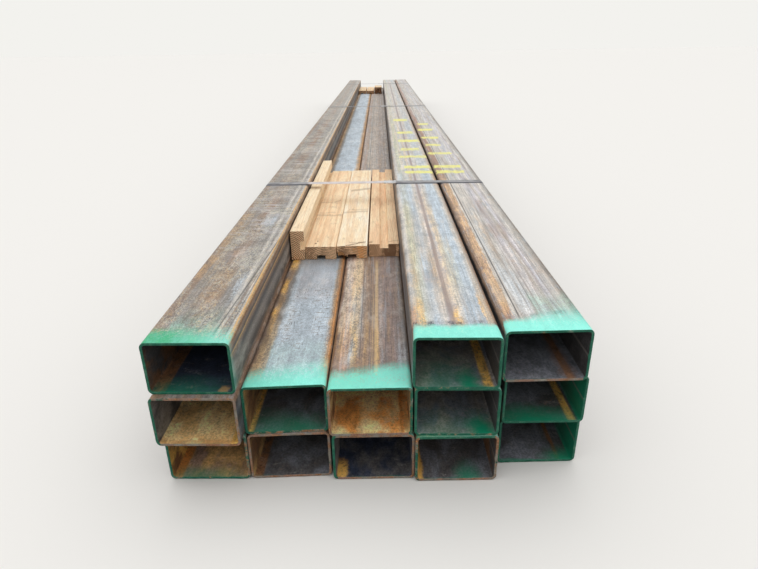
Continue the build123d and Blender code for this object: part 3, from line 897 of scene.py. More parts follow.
def rim_skin(tube, settings, seed):
    """The sawn end: thick green paint, worn to rusty steel by a different share on each side."""
    rim = Finish(tube.node + "_rim", settings, tube.origin(), seed + 80)
    left, top, right, bottom = RIMS[tube.node]
    inside_x = tube.width / 2 - settings.wall - 2 * MM
    inside_z = tube.height / 2 - settings.wall - 1 * MM
    blotch = rim.grain((0.016, 0.016, 0.016), 5, 0.65)
    fleck = rim.grain((0.003, 0.003, 0.003), 4, 0.7)
    over_sides = rim.fade(rim.share(rim.across, 2 * inside_x), 0.02, 0.98, left, right)
    over_levels = rim.fade(rim.share(rim.up, 2 * inside_z), 0.02, 0.98, bottom, top)
    on_side = rim.fade(rim.number("ABSOLUTE", rim.across), inside_x - 3 * MM, inside_x + 1 * MM)
    coverage = rim.add(rim.times(on_side, over_sides), rim.times(rim.rest(on_side), over_levels))
    level = rim.add(rim.times(blotch, 0.7), rim.times(fleck, 0.3))
    spread = rim.fade(coverage, 0, 1, 0.32, 0.70)
    paint = rim.fade(rim.number("SUBTRACT", spread, level), -0.05, 0.06)
    near = rim.fade(rim.along, 0.3, 0.4, 1, 0)
    rust = rim.mix(rim.fade(blotch, 0.4, 0.6), "pink_rust", "rust_brown")
    rust = rim.mix(rim.fade(fleck, 0.5, 0.7, 0, 0.6), rust, "orange_rust")
    worn = rim.grain((0.03, 0.03, 0.03), 3, 0.6)
    rust = rim.mix(rim.fade(worn, 0.44, 0.6), rust, "bare_rim")
    thin = rim.fade(rim.add(blotch, rim.sway(fleck, 0.5)), 0.50, 0.64, 0, 0.15)
    green = rim.mix(thin, "rim_paint", "bare_rim")
    colour = rim.mix(rim.times(paint, near), rust, green)
    for pattern, amount in ((blotch, 0.3), (fleck, 0.22)):
        colour = rim.varied(colour, pattern, amount)
    return rim.done(colour, 0.55, ((fleck, 0.1 * MM),), shine=0.4)


def corner_arc(centre, radius, start, steps=8):
    """Points round a quarter circle, from an angle in quarter turns."""
    return [
        (centre[0] + radius * math.cos((start + step / steps) * math.pi / 2),
         centre[1] + radius * math.sin((start + step / steps) * math.pi / 2))
        for step in range(steps + 1)
    ]


def steps_between(a, b, count):
    """The points that part the line between two points in equal steps, without its ends."""
    return [
        (a[0] + (b[0] - a[0]) * step / count, a[1] + (b[1] - a[1]) * step / count)
        for step in range(1, count)
    ]


def rounded_loop(half_width, half_height, radius, steps=8):
    """Quarter arcs of a rounded rectangle, anticlockwise from its top right corner."""
    x, z = half_width - radius, half_height - radius
    return [
        corner_arc((x, z), radius, 0, steps), corner_arc((-x, z), radius, 1, steps),
        corner_arc((-x, -z), radius, 2, steps), corner_arc((x, -z), radius, 3, steps),
    ]


# Steps along the top, the left side, the bottom and the right side of a tube's outline, and a
# point of that outline that lies on the flat top
FACE_STEPS = (28, 18, 28, 18)
RIGHT_SIDE = 3
ON_FLAT_TOP = 20


def tube_loop(half_width, half_height, radius, flash=None):
    """A tube's outline with matching points inside and out, and the weld's flash if given."""
    arcs = rounded_loop(half_width, half_height, radius)
    points = []
    for side, (arc, steps) in enumerate(zip(arcs, FACE_STEPS)):
        face = steps_between(arc[-1], arcs[(side + 1) % 4][0], steps)
        if flash and side == RIGHT_SIDE:
            width, height = flash
            foot = width / 2 + 2 * MM
            face = [(x - height * (1 - min(1, abs(z) / foot) ** 2), z) for x, z in face]
        points += arc + face
    return points


def skin_loops(name, loops, materials, ring_slots=None, cap_slot=0, sharp=35):
    """A mesh from loops of points in order, each joined to the next: closed into a ring where
    each band's material slot is given, and otherwise with a cap at either end."""
    size = len(loops[0])
    vertices = [point for loop in loops for point in loop]
    faces, slots = [], []
    for ring, slot in enumerate(ring_slots or [0] * (len(loops) - 1)):
        following = (ring + 1) % len(loops)
        for step in range(size):
            after = (step + 1) % size
            faces.append((
                ring * size + step, ring * size + after,
                following * size + after, following * size + step,
            ))
            slots.append(slot)
    if not ring_slots:
        faces.append(tuple(reversed(range(size))))
        faces.append(tuple((len(loops) - 1) * size + step for step in range(size)))
        slots += [cap_slot, cap_slot]
    return finished_mesh(name, vertices, faces, slots, materials, sharp)


def finished_mesh(name, vertices, faces, slots, materials, sharp=35):
    mesh = bpy.data.meshes.new(name)
    mesh.from_pydata(vertices, [], faces)
    for material in materials:
        mesh.materials.append(material)
    mesh.polygons.foreach_set("material_index", slots)
    mesh.polygons.foreach_set("use_smooth", [True] * len(mesh.polygons))
    shell = bmesh.new()
    shell.from_mesh(mesh)
    bmesh.ops.recalc_face_normals(shell, faces=shell.faces)
    shell.to_mesh(mesh)
    shell.free()
    mesh.set_sharp_from_angle(angle=math.radians(sharp))
    piece = bpy.data.objects.new(name, mesh)
    bpy.context.scene.collection.objects.link(piece)
    return piece


def belongs(piece, node):
    """Hands a finished piece to the frame in place of its node."""
    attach(piece, BODY)
    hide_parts(node)


def shares_along(points):
    """Each point's share of the way along a line of points."""
    reached = [0.0]
    for before, after in zip(points, points[1:]):
        reached.append(reached[-1] + math.dist(before, after))
    return [distance / reached[-1] for distance in reached]


def spread_on_map(piece, loops, strips):
    """Lays runs of rings, from and to, in rectangles of the map that the skin is baked through."""
    mesh = piece.data
    size = len(loops[0])
    spots = mesh.uv_layers.new(name=BAKE_MAP).data
    for first, last, left, right, low, high in strips:
        rings = [loops[number % len(loops)] for number in range(first, last + 1)]
        rows = shares_along([ring[ON_FLAT_TOP] for ring in rings])
        columns = shares_along([*rings[0], rings[0][0]])
        for number in range(first, last):
            ring = number % len(loops)
            for step in range(size):
                for corner in mesh.polygons[ring * size + step].loop_indices:
                    at_ring, at_step = divmod(mesh.loops[corner].vertex_index, size)
                    row = rows[number - first + (at_ring != ring)]
                    column = columns[step + (at_step != step)]
                    spots[corner].uv = (
                        (right + (left - right) * column) / MAP_SIZE,
                        (low + (high - low) * row) / MAP_SIZE,
                    )


# Where a tube's layout on the map is cut, in metres from its near end, and the sizes of its
# strips in pixels. The far outside stands in three columns, and all the rest in a wider fourth.
NEAR_CUT, FIRST_CUT, SECOND_CUT = 0.28, 2.62, 4.97
MAP_MARGIN = 3
FAR_COLUMN_WIDTH = 200
NEAR_OUTSIDE_HEIGHT = 290
NEAR_INSIDE_HEIGHT = 230
FAR_INSIDE_HEIGHT = 440
RIM_HEIGHT = 16


def tube_strips(stations):
    """Each strip's first and last ring of the skin, and its left, right, low and high edges."""
    near, first, second = (2 + stations.index(cut) for cut in (NEAR_CUT, FIRST_CUT, SECOND_CUT))
    far = len(stations) + 2
    far_inside = far + 3
    mouth = far_inside + len(stations) + 1
    near_inside = mouth + 1 - near
    end = MAP_SIZE - MAP_MARGIN
    left = low = MAP_MARGIN
    strips = []
    for run in ((near, first), (first, second), (second, far)):
        strips.append((*run, left, left + FAR_COLUMN_WIDTH, low, end))
        left += FAR_COLUMN_WIDTH + 2 * MAP_MARGIN
    for *run, height in (
        (1, near, NEAR_OUTSIDE_HEIGHT), (mouth, mouth + 3, RIM_HEIGHT),
        (near_inside, mouth, NEAR_INSIDE_HEIGHT), (far_inside, near_inside, FAR_INSIDE_HEIGHT),
        (far, far_inside, RIM_HEIGHT),
    ):
        strips.append((*run, left, end, low, low + height))
        low += height + 2 * MAP_MARGIN
    return strips


def tube_piece(tube, settings, seed):
    """One tube as a closed skin: outside, far rim, inside and near rim."""
    half_width, half_height = tube.width / 2, tube.height / 2
    radius = settings.corner_radius
    wall, bevel = settings.wall, settings.rim_bevel
    flash = (settings.flash_width, settings.flash_height)
    outer = tube_loop(half_width, half_height, radius)
    outer_edge = tube_loop(half_width - bevel, half_height - bevel, radius - bevel)
    inner = tube_loop(half_width - wall, half_height - wall, radius - wall, flash)
    inner_edge = tube_loop(
        half_width - wall + bevel, half_height - wall + bevel, radius - wall + bevel, flash
    )
    length = tube.far - tube.near
    stations = [
        0.04, 0.09, 0.16, NEAR_CUT, 0.6, 1.2, 1.9, FIRST_CUT, 3.8, SECOND_CUT, 6.1, length - 0.1
    ]

    def placed(outline, distance, wear=0.0):
        """The outline at a distance from the near end, which is out of square."""
        points = []
        near_share = max(0.0, 1 - distance / 0.03)
        for x, z in outline:
            y = tube.near + distance + tube.skew * near_share * x / tube.width
            if wear:
                y += wear * (0.5 + noise.noise((x * 90, seed * 3.7, z * 90)))
            points.append((tube.middle + x, y, tube.level + z))
        return points

    wear = settings.rim_wear
    loops = [placed(outer_edge, 0, wear), placed(outer, bevel, wear)]
    loops += [placed(outer, distance) for distance in stations]
    loops += [placed(outer, length - bevel), placed(outer_edge, length)]
    loops += [placed(inner_edge, length), placed(inner, length - bevel)]
    loops += [placed(inner, distance) for distance in reversed(stations)]
    loops += [placed(inner, bevel, wear), placed(inner_edge, 0, wear)]
    outside, inside, rim = range(3)
    bands = len(stations) + 1
    slots = [rim] + [outside] * bands + [rim] * 3 + [inside] * bands + [rim] * 2
    skins = (TubeSkin(tube, settings, seed).finished(), bore_skin(tube, settings, seed),
             rim_skin(tube, settings, seed))
    piece = skin_loops(tube.node + "_weathered", loops, skins, slots)
    belongs(piece, tube.node)
    spread_on_map(piece, loops, tube_strips(stations))


class BUNDLE_OT_tubes(bpy.types.Operator):
    """Build the rectangular tubes with their weathered skins and painted near ends"""
    bl_idname = "bundle.tubes"
    bl_label = "Tubes"

    def execute(self, context):
        settings = context.scene.bundle_tubes
        for order, node in enumerate(END_SKEWS):
            tube_piece(Tube(node), settings, order * 11.0)
        return {"FINISHED"}


# Each timber's groove side, the pith's place from its middle in mm, how reddish and how pale it is,
# how bold its figure is, stains on its faces as from and to across, places along at each, width
# and strength, and darker or brighter parts of its ends as colour, from and to across, and
# strength
TIMBERS = {
    "front_timber_on_edge": dict(groove="right", pith=(-46, -64), red=0.15, pale=0.3, figure=0.22),
    "front_timber_flat_1": dict(
        groove="down", pith=(14, -60), red=0.5, pale=0.1, figure=0.4,
        stains=(
            (0.0, 1.0, 0.313, 0.309, 0.014, 0.3), (0.28, 0.34, 0.030, 0.030, 0.008, 0.9),
            (0.34, 0.38, 0.049, 0.049, 0.006, 0.8), (0.55, 0.80, 0.47, 0.50, 0.012, 0.3),
            (0.0, 0.5, 0.47, 0.47, 0.010, 0.25), (0.1, 0.7, 0.335, 0.345, 0.010, 0.2),
        ),
        ends=(("old_wood_and_shade", 0.0, 0.30, 0.5), ("old_wood_and_shade", 0.5, 0.66, 0.4)),
    ),
    "front_timber_flat_2": dict(
        groove="down", pith=(-6, -90), red=0.1, pale=0.7, figure=0.35, knot=(-33, -9, 13),
        stains=(
            # The second stain here, 0.637 to 0.670 m along, is a painted shadow of the front strap
            (0.0, 1.0, 0.336, 0.351, 0.016, 0.3), (0.15, 1.0, 0.637, 0.670, 0.022, 0.4),
            (0.3, 1.0, 0.366, 0.376, 0.008, 0.3),
            (0.30, 1.0, 0.004, 0.035, 0.006, 0.8), (0.4, 0.9, 0.030, 0.022, 0.004, 0.4),
        ),
        ends=(("orange_wood", 0.66, 0.94, 0.55), ("old_wood_and_shade", 0.16, 0.34, 0.6),
              ("old_wood_and_shade", 0.58, 0.64, 0.4)),
    ),
    "front_timber_flat_3": dict(
        groove="up", pith=(60, 44), red=0.8, pale=0.0, figure=0.4,
        stains=((0.0, 0.12, 0.012, 0.020, 0.012, 0.6), (0.6, 1.0, 0.02, 0.03, 0.006, 0.3)),
        ends=(("old_wood_and_shade", 0.40, 1.0, 0.75), ("old_wood_and_shade", 0.0, 0.3, 0.4)),
    ),
    # The rear timbers' ends are darkened all over: painted shade, as those ends stand in shade
    "rear_timber_flat_1": dict(groove="down", pith=(-30, 80), red=0.3, pale=0.2, figure=0.5,
                               ends=(("old_wood_and_shade", -0.4, 1.4, 0.6),)),
    "rear_timber_flat_2": dict(groove="down", pith=(36, -70), red=0.5, pale=0.1, figure=0.5,
                               ends=(("old_wood_and_shade", -0.4, 1.4, 0.6),)),
    "rear_timber_stack_lower": dict(groove="down", pith=(10, 90), red=0.8, pale=0.0, figure=0.5,
                                    ends=(("old_wood_and_shade", -0.4, 1.4, 0.9),)),
    "rear_timber_stack_upper": dict(groove="down", pith=(-50, -60), red=0.2, pale=0.4, figure=0.5,
                                    ends=(("old_wood_and_shade", -0.4, 1.4, 0.9),)),
}


def name_number(node, limit):
    """A number under the limit that differs from name to name."""
    return sum(ord(letter) for letter in node) % limit


def wood(node, settings, end):
    """Rings round a pith outside the board, seen as lines on its faces and arcs on its ends."""
    look = TIMBERS[node]
    low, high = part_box(node)
    centre = ((low.x + high.x) / 2, low.y, (low.z + high.z) / 2)
    board = Finish(node + ("_ends" if end else "_faces"), settings, centre, name_number(node, 37))
    share_across = board.share(board.across, high.x - low.x)
    bend = board.grain((0.06, 0.6, 0.06), 3)
    pith_x, pith_z = look["pith"]
    x = board.add(board.across, -pith_x * MM, board.sway(bend, 0.018),
                  board.times(board.along, 0.010))
    z = board.add(board.up, -pith_z * MM, board.sway(bend, 0.010))
    turns = board.number("DIVIDE", board.hypot(x, z), settings.ring_spacing)
    turns = board.add(turns, board.sway(board.grain((0.008, 0.3, 0.008), 3), 0.6))
    within = board.number("FRACT", turns)
    each = board.number("FRACT", board.times(board.number("FLOOR", turns), 0.618))
    late = board.times(
        board.fade(within, 0.40 if end else 0.25, 0.75), board.fade(within, 0.9, 1.0, 1, 0),
        board.fade(each, 0, 1, 0.85 if end else 0.4, 1.0),
    )
    fibre = board.grain((0.0014, 0.05, 0.0014), 5, 0.68)
    pores = board.grain((0.0022, 0.0022, 0.0022), 4, 0.7)
    cloud = board.grain((0.03, 0.16, 0.03), 4, 0.55)
    dirt = board.grain((0.018, 0.05, 0.018), 6, 0.68)
    weave = pores if end else fibre

    if end:
        colour = board.mix(board.times(late, 0.95), "end_grain", "old_wood_and_shade")
    else:
        pale = board.fade(cloud, 0.3, 0.7, 0, look["pale"])
        colour = board.mix(pale, "early_wood", "pale_wood_and_highlight")
        colour = board.mix(board.times(late, look["figure"]), colour, "late_wood")
    tint = board.fade(cloud, 0.65, 0.35, 0.15 * look["red"], 0.8 * look["red"])
    colour = board.mix(tint, colour, "heart_tint")
    colour = board.mix(1.0, colour, board.fade(weave, 0.28, 0.72, 0.78, 1.12), "MULTIPLY")
    colour = board.mix(board.fade(dirt, 0.56, 0.74, 0, 0.55 if end else 0.3), colour, "old_wood_and_shade")
    if end:
        blotch = board.grain((0.012, 0.03, 0.012), 5, 0.65)
        ragged = board.add(share_across, board.sway(blotch, 0.9), board.sway(pores, 0.2))
        for name, left, right, strength in look.get("ends", ()):
            patch = board.times(board.band(ragged, left, right, 0.14), strength,
                                board.fade(blotch, 0.3, 0.5, 0.4, 1))
            colour = board.mix(patch, colour, name)
    else:
        for left, right, at_left, at_right, width, strength in look.get("stains", ()):
            slope = (at_right - at_left) / (right - left)
            line = board.number("MULTIPLY_ADD", share_across, slope, at_left - slope * left)
            line = board.add(line, board.sway(dirt, 0.03), board.sway(bend, 0.01))
            stain = board.times(
                board.fade(board.away(board.along, line), 0.3 * width, width, 1, 0), strength,
                board.band(share_across, left, right, 0.03), board.fade(weave, 0.3, 0.6, 0.5, 1),
            )
            colour = board.mix(stain, colour, "old_wood_and_shade")
    if "knot" in look:
        colour = knotted(board, colour, look["knot"], bend)
        if not end:
            # Painted highlight: a pale strip along the board's right edge near its near end
            rim = board.times(board.fade(share_across, 0.94, 0.965),
                              board.fade(board.along, 0.3, 0.5, 1, 0))
            colour = board.mix(rim, colour, "pale_wood_and_highlight")
    depth = 0.3 if end else 0.12
    return board.done(colour, 0.75, ((weave, depth * MM), (late, 0.08 * MM)), shine=0.25)


def knotted(board, colour, knot, bend):
    """Dark rings round a knot at the near end, given as x, z and radius in mm."""
    knot_x, knot_z, size = (length * MM for length in knot)
    aside = board.add(board.across, -knot_x, board.sway(bend, 0.004))
    from_knot = board.hypot(aside, board.add(board.up, -knot_z))
    ring = board.number("PINGPONG", from_knot, 1.9 * MM)
    rings = board.mix(board.fade(ring, 0.5 * MM, 1.4 * MM), "old_wood_and_shade", "late_wood")
    inside = board.times(board.fade(from_knot, size, size - 2 * MM),
                         board.fade(board.along, 0.05, 0.08, 1, 0), 0.85)
    return board.mix(inside, colour, rings)


def timber_outline(settings, half_width, half_height):
    """The grooved section, groove up, anticlockwise, with points every few millimetres."""
    arcs = rounded_loop(half_width, half_height, settings.edge_radius, 4)
    groove_x = settings.groove_width / 2
    groove_z = half_height - settings.groove_depth
    corners = [
        *arcs[0], (groove_x, half_height), (groove_x, groove_z), (-groove_x, groove_z),
        (-groove_x, half_height), *arcs[1], *arcs[2], *arcs[3],
    ]
    points = []
    for index, corner in enumerate(corners):
        points.append(corner)
        following = corners[(index + 1) % len(corners)]
        count = max(1, round(math.dist(corner, following) / (7 * MM)))
        points += steps_between(corner, following, count)
    return points


BROKEN_TIMBER = "front_timber_flat_2"
BREAK_LENGTH = 70 * MM
BREAK_WIDTH = 31 * MM
BREAK_HEIGHT = 16 * MM
BREAK_RISE = 11 * MM
BREAK_SHIFT = 3 * MM


def broken_corner(x, z, distance, low):
    """Rounds off the lower left corner of a timber's near end, where a knot has broken out."""
    from_left = x - low.x
    if distance > BREAK_LENGTH or from_left >= BREAK_WIDTH or z - low.z >= BREAK_HEIGHT:
        return x, z
    share = 1 - (distance / BREAK_LENGTH) ** 2
    inwards = 1 - from_left / BREAK_WIDTH
    bite = share * BREAK_RISE * math.sin(math.pi * min(1, max(0, inwards)) * 0.5 + 0.6)
    return x + share * BREAK_SHIFT * inwards, max(z, low.z + bite)


def timber_piece(node, settings):
    """A sawn board with uneven faces and rough ends, its groove turned the right way."""
    turn = TIMBERS[node]["groove"]
    low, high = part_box(node)
    half_width, half_height = (high.x - low.x) / 2, (high.z - low.z) / 2
    if turn == "right":
        half_width, half_height = half_height, half_width
    middle_x, middle_z = (low.x + high.x) / 2, (low.z + high.z) / 2
    turned = {
        "up": lambda x, z: (x, z),
        "down": lambda x, z: (-x, -z),
        "right": lambda x, z: (z, -x),
    }[turn]
    outline = [turned(x, z) for x, z in timber_outline(settings, half_width, half_height)]
    seed = name_number(node, 41)
    length = high.y - low.y
    count = max(8, round(length / 0.02))
    loops = []
    for station in range(count + 1):
        y = low.y + length * station / count
        loop = []
        for across, up in outline:
            inset = 0.25 * MM * (1 + noise.noise((across * 40, y * 9, up * 40 + seed)))
            rough = 0.0
            if station in (0, count):
                inset += 0.36 * MM
                rough = 0.5 * MM * (1 + noise.noise((across * 160, seed, up * 160)))
            x = middle_x + across * (1 - inset / half_width)
            z = middle_z + up * (1 - inset / half_height)
            if node == BROKEN_TIMBER:
                x, z = broken_corner(x, z, y - low.y, low)
            loop.append((x, y + (rough if station == 0 else -rough), z))
        loops.append(loop)
    skins = (wood(node, settings, False), wood(node, settings, True))
    piece = skin_loops(node + "_sawn", loops, skins, cap_slot=1, sharp=40)
    belongs(piece, node)


class BUNDLE_OT_timbers(bpy.types.Operator):
    """Build the grooved timbers with their growth rings"""
    bl_idname = "bundle.timbers"
    bl_label = "Timbers"

    def execute(self, context):
        for node in TIMBERS:
            timber_piece(node, context.scene.bundle_timbers)
        return {"FINISHED"}


def strap_finish(settings, name, base, paler_span=False):
    """Plated steel, stained in clouds, and paler on the front strap's top run over the channel where
    asked.
    """
    steel = Finish(name, settings)
    fibre = steel.grain((0.2, 0.0015, 0.2), 3, 0.6)
    cloud = steel.grain((0.03, 0.02, 0.03), 4, 0.6)
    colour = steel.mix(steel.fade(cloud, 0.4, 0.75, 0, 0.55), base, "strap_dark")
    colour = steel.mix(1.0, colour, steel.fade(fibre, 0.3, 0.7, 0.9, 1.1), "MULTIPLY")
    if paler_span:
        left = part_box("tube_top_1")[1].x
        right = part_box("tube_top_4")[0].x
        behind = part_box("strap_front")[1].y + 0.05
        over = steel.times(steel.band(steel.across, left, right, 0.02),
                           steel.fade(steel.up, 0.2, 0.25), steel.fade(cloud, 0.35, 0.65, 0.9, 0.6),
                           steel.fade(steel.along, behind, behind + 0.1, 1, 0))
        colour = steel.mix(over, colour, "paler_strap_span")
    rough = steel.fade(cloud, 0.3, 0.7, 0.3, 0.5)
    return steel.done(colour, rough, ((fibre, 0.04 * MM),), metallic=0.6, shine=0.5)


def notch_depth(settings, distance):
    """How deep the notches cut in from the side, at a distance along from the seal's middle."""
    from_notch = abs(abs(distance) - settings.notch_spacing / 2)
    return math.sqrt(max(0.0, settings.notch_radius ** 2 - from_notch ** 2))


def notch_stations(settings, reach):
    """Distances along from the seal's middle, close together at its notches."""
    stations = {-reach, 0.0, reach}
    for side in (-1, 1):
        for step in range(13):
            angle = math.pi * step / 12
            offset = settings.notch_radius * math.cos(angle)
            stations.add(side * settings.notch_spacing / 2 + offset)
    return sorted(stations)


def tight_outline():
    """The corners' centres of the line that a strap takes round the tubes, anticlockwise."""
    radius = bpy.context.scene.bundle_tubes.corner_radius
    centres = []
    for node in END_SKEWS:
        low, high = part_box(node)
        for x in (low.x + radius, high.x - radius):
            for z in (low.z + radius, high.z - radius):
                centres.append(Vector((x, z)))
    return [centres[index] for index in geometry.convex_hull_2d(centres)]


def strap_path(settings, seal_x):
    """The strap's mid-line from one lapped end round to the other: x, z, normal and half width."""
    thickness = settings.strap_thickness
    radius = bpy.context.scene.bundle_tubes.corner_radius + thickness / 2
    corners = tight_outline()
    top = max(corner.y for corner in corners)
    right = max(range(len(corners)), key=lambda index: (corners[index].y >= top - MM,
                                                        corners[index].x))
    corners = corners[right + 1:] + corners[:right + 1]
    half_width = settings.strap_width / 2
    upward = Vector((0, 1))
    level = top + radius
    stations = notch_stations(settings, settings.lap / 2)
    notched = [(distance, half_width - notch_depth(settings, distance)) for distance in stations]
    path = [(Vector((seal_x + distance, level)), upward, width) for distance, width in notched[::-1]]
    for index, corner in enumerate(corners):
        before = corners[index - 1]
        after = corners[(index + 1) % len(corners)]
        start = (corner - before).normalized()
        end = (after - corner).normalized()
        turn = math.atan2(start.cross(end), start.dot(end))
        normal = Vector((start.y, -start.x))
        steps = max(1, math.ceil(turn / math.radians(9)))
        for step in range(steps + 1):
            facing = Matrix.Rotation(turn * step / steps, 2) @ normal
            path.append((corner + facing * radius, facing, half_width))
    over = level + thickness + 0.04 * MM
    before_lap = seal_x + settings.lap / 2
    for distance, rise in ((22 * MM, 0.0), (16 * MM, 0.15), (10 * MM, 0.6), (4 * MM, 1.0)):
        path.append((Vector((before_lap + distance, level + rise * thickness)), upward, half_width))
    path += [(Vector((seal_x + distance, over)), upward, width) for distance, width in notched[::-1]]
    return path


def strap_piece(place, settings, finish):
    low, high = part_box(f"strap_{place}")
    middle = (low.y + high.y) / 2
    seal_low, seal_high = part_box(f"seal_{place}")
    half = settings.strap_thickness / 2
    ease = 0.2 * MM
    loops = []
    for point, normal, width in strap_path(settings, (seal_low.x + seal_high.x) / 2):
        section = [
            (-width + ease, -half), (-width, ease - half), (-width, half - ease),
            (ease - width, half), (width - ease, half), (width, half - ease),
            (width, ease - half), (width - ease, -half),
        ]
        loops.append([
            (point.x + normal.x * lift, middle + y, point.y + normal.y * lift)
            for y, lift in section
        ])
    piece = skin_loops(f"strap_{place}_band", loops, (finish,))
    belongs(piece, f"strap_{place}")


def seal_section(settings, half_width, low, high):
    """The folded sheet's outline across the strap, open beneath, as y and z."""
    thick = settings.seal_thickness
    outer = rounded_loop(half_width, (high - low) / 2, thick, 4)
    inner = rounded_loop(half_width - thick, (high - low) / 2 - thick, 0.15 * MM, 2)
    lift = (high + low) / 2

    def folded(arcs, level):
        """From the slot's right edge round the top to its left edge."""
        right, left, lower_left, lower_right = arcs
        around = lower_right + right + left + lower_left
        edge = settings.slot / 2
        return [(edge, level), *around, (-edge, level)]

    outside = folded(outer, (low - high) / 2)
    inside = folded(inner, (low - high) / 2 + thick)
    return [(y, z + lift) for y, z in outside + inside[::-1]]


def bent_tab(settings, x, y, side, level):
    """A half-round tab that the notching tool has cut and bent down: its points and faces."""
    radius = settings.notch_radius - 0.3 * MM
    outline = [
        (radius * math.cos(math.pi * step / 10), radius * math.sin(math.pi * step / 10))
        for step in range(11)
    ]
    fall = math.radians(58)
    points = []
    for depth in (0, -settings.seal_thickness):
        for along, out in outline:
            reach = out * math.cos(fall) + depth * math.sin(fall)
            drop = depth * math.cos(fall) - out * math.sin(fall)
            points.append((x + along, y + side * reach, level + drop))
    count = len(outline)
    faces = [tuple(range(count)), tuple(reversed(range(count, 2 * count)))]
    for step in range(count):
        after = (step + 1) % count
        faces.append((step, count + step, count + after, after))
    if side < 0:
        faces = [tuple(reversed(face)) for face in faces]
    return points, faces


def seal_piece(place, settings, finish):
    """The sleeve folded round the lap, with its notches and their bent tabs."""
    low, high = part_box(f"seal_{place}")
    centre = (low + high) / 2
    half_width = (high.y - low.y) / 2
    outline = seal_section(settings, half_width, low.z, high.z)
    vertices, faces = [], []
    stations = notch_stations(settings, (high.x - low.x) / 2)
    for distance in stations:
        depth = notch_depth(settings, distance)
        for y, z in outline:
            pressed = math.copysign(depth, y) if abs(y) > settings.slot else 0.0
            vertices.append((centre.x + distance, centre.y + y - pressed, z))
    size = len(outline)
    for ring in range(len(stations) - 1):
        for step in range(size):
            after = (step + 1) % size
            faces.append((ring * size + step, (ring + 1) * size + step,
                          (ring + 1) * size + after, ring * size + after))
    faces.append(tuple(range(size)))
    faces.append(tuple(reversed(range((len(stations) - 1) * size, len(stations) * size))))
    level = high.z - settings.seal_thickness * 0.4
    for along in (-1, 1):
        for side in (-1, 1):
            points, tab_faces = bent_tab(
                settings, centre.x + along * settings.notch_spacing / 2,
                centre.y + side * (half_width - settings.notch_radius - 0.2 * MM), side, level,
            )
            first = len(vertices)
            vertices += points
            faces += [tuple(first + corner for corner in face) for face in tab_faces]
    piece = finished_mesh(f"seal_{place}_sleeve", vertices, faces, [0] * len(faces), (finish,))
    belongs(piece, f"seal_{place}")


class BUNDLE_OT_straps(bpy.types.Operator):
    """Build the steel straps round the bundle, each with its ends lapped"""
    bl_idname = "bundle.straps"
    bl_label = "Straps"

    def execute(self, context):
        settings = context.scene.bundle_straps
        finish = strap_finish(settings, "strap_zinc", "strap_steel", paler_span=True)
        for place in PLACES:
            strap_piece(place, settings, finish)
        return {"FINISHED"}


class BUNDLE_OT_seals(bpy.types.Operator):
    """Build the notched seals that hold the straps' ends"""
    bl_idname = "bundle.seals"
    bl_label = "Seals"

    def execute(self, context):
        settings = context.scene.bundle_straps
        finish = strap_finish(settings, "seal_plate", "seal_steel")
        for place in PLACES:
            seal_piece(place, settings, finish)
        return {"FINISHED"}


def floor_finish(settings):
    """Pale where the camera or a reflection sees it, darker for the light that it throws back."""
    floor = Finish("floor_pale", settings)
    bounce = (settings.floor_bounce,) * 3
    return floor.done(floor.mix(floor.seen(), bounce, "floor_colour"), 0.9, shine=0.1)


def make_world(settings):
    """Even light from all round, and pale where the camera or a reflection sees it."""
    world = bpy.data.worlds.new("studio_sky")
    bpy.context.scene.world = world
    world.use_nodes = True
    sky = Nodes(world.node_tree, settings)
    background = sky.tree.nodes["Background"]
    seen = sky.seen()
    direction = sky.node("ShaderNodeTexCoord")
    height = sky.node("ShaderNodeSeparateXYZ")
    sky.join(direction.outputs["Generated"], height.inputs[0])
    overcast = sky.node("ShaderNodeMapRange")
    sky.join(height.outputs["Z"], overcast.inputs["Value"])
    sky.join(settings.horizon_light, overcast.inputs["To Min"])
    sky.join(settings.zenith_light, overcast.inputs["To Max"])
    sky.join(sky.mix(seen, (1, 1, 1), "backdrop_colour"), background.inputs["Color"])
    strength = sky.node("ShaderNodeMix")
    for value, name in ((seen, "Factor"), (overcast.outputs[0], "A"), (1.0, "B")):
        sky.join(value, strength.inputs[name])
    sky.join(strength.outputs["Result"], background.inputs["Strength"])


# The camera's place in metres and its turns in degrees
CAMERA_PLACE = (0.0176, -4.48413, 0.7564)
CAMERA_PITCH = 23.41
CAMERA_YAW = 0.33
CAMERA_ROLL = -0.86


def make_camera(settings):
    pitch, yaw, roll = (math.radians(turn) for turn in (CAMERA_PITCH, CAMERA_YAW, CAMERA_ROLL))
    level = Vector((math.cos(yaw), math.sin(yaw), 0))
    ahead = Vector((
        -math.sin(yaw) * math.cos(pitch), math.cos(yaw) * math.cos(pitch), -math.sin(pitch)
    ))
    upward = level.cross(ahead)
    right = level * math.cos(roll) + upward * math.sin(roll)
    top = upward * math.cos(roll) - level * math.sin(roll)
    data = bpy.data.cameras.new("photograph_view")
    data.lens = settings.lens
    data.sensor_width = 36
    data.clip_end = 200
    camera = bpy.data.objects.new("photograph_view", data)
    bpy.context.scene.collection.objects.link(camera)
    turn = Matrix((right, top, -ahead)).transposed().to_4x4()
    camera.matrix_world = Matrix.Translation(CAMERA_PLACE) @ turn
    bpy.context.scene.camera = camera


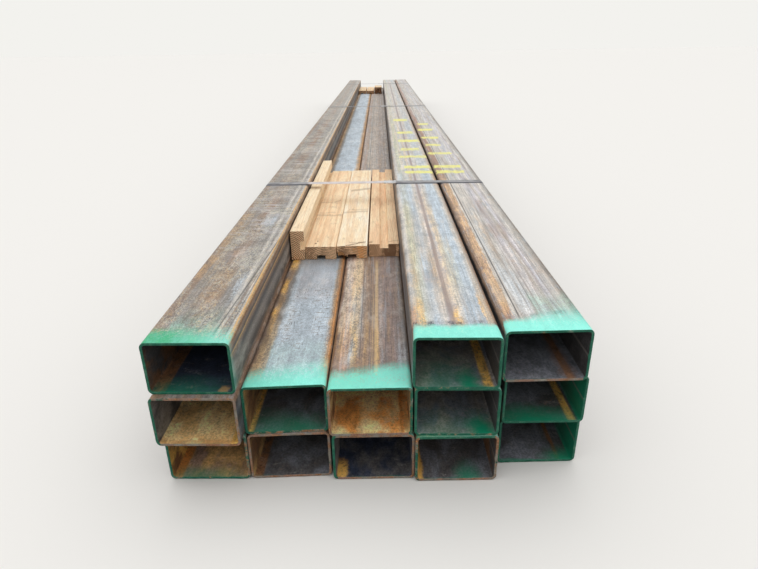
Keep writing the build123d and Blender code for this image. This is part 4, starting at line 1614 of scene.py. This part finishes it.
class BUNDLE_OT_stage(bpy.types.Operator):
    """Set out the pale floor, the soft light and the camera"""
    bl_idname = "bundle.stage"
    bl_label = "Stage"

    def execute(self, context):
        settings = context.scene.bundle_stage
        reach = 60
        mesh = bpy.data.meshes.new("floor")
        corners = [(-reach, -reach, 0), (reach, -reach, 0), (reach, reach, 0), (-reach, reach, 0)]
        mesh.from_pydata(corners, [], [(0, 1, 2, 3)])
        mesh.materials.append(floor_finish(settings))
        floor = bpy.data.objects.new("floor", mesh)
        context.scene.collection.objects.link(floor)
        lamp = bpy.data.lights.new("overhead", "SUN")
        lamp.angle = math.radians(60)
        lamp.energy = settings.lamp_strength
        holder = bpy.data.objects.new("overhead", lamp)
        holder.rotation_euler = (math.radians(-12), math.radians(8), 0)
        context.scene.collection.objects.link(holder)
        make_world(settings)
        make_camera(settings)
        context.scene.view_settings.view_transform = "Standard"
        return {"FINISHED"}


class BUNDLE_PT_sidebar(bpy.types.Panel):
    """Lists the bundle's parts in the order in which they are made"""
    bl_label = "Tube Bundle"
    bl_idname = "BUNDLE_PT_sidebar"
    bl_space_type = "VIEW_3D"
    bl_region_type = "UI"
    bl_category = "Tube Bundle"

    def draw(self, context):
        layout = self.layout
        for operator in OPERATORS:
            layout.operator(operator.bl_idname)
        for name in SETTINGS:
            group = getattr(context.scene, name)
            box = layout.box()
            for key in group.__annotations__:
                box.prop(group, key)


OPERATORS = (BUNDLE_OT_tubes, BUNDLE_OT_timbers, BUNDLE_OT_straps, BUNDLE_OT_seals, BUNDLE_OT_stage)
SETTINGS = {
    "bundle_tubes": TubeSettings,
    "bundle_timbers": TimberSettings,
    "bundle_straps": StrapSettings,
    "bundle_stage": StageSettings,
}


def register():
    for group in SETTINGS.values():
        bpy.utils.register_class(group)
    for operator in OPERATORS:
        bpy.utils.register_class(operator)
    bpy.utils.register_class(BUNDLE_PT_sidebar)
    for name, group in SETTINGS.items():
        setattr(bpy.types.Scene, name, PointerProperty(type=group))


def unregister():
    for name in SETTINGS:
        delattr(bpy.types.Scene, name)
    bpy.utils.unregister_class(BUNDLE_PT_sidebar)
    for operator in reversed(OPERATORS):
        bpy.utils.unregister_class(operator)
    for group in SETTINGS.values():
        bpy.utils.unregister_class(group)


def main():
    register()
    for operator in OPERATORS:
        family, name = operator.bl_idname.split(".")
        getattr(getattr(bpy.ops, family), name)()


if __name__ == "__main__":
    main()
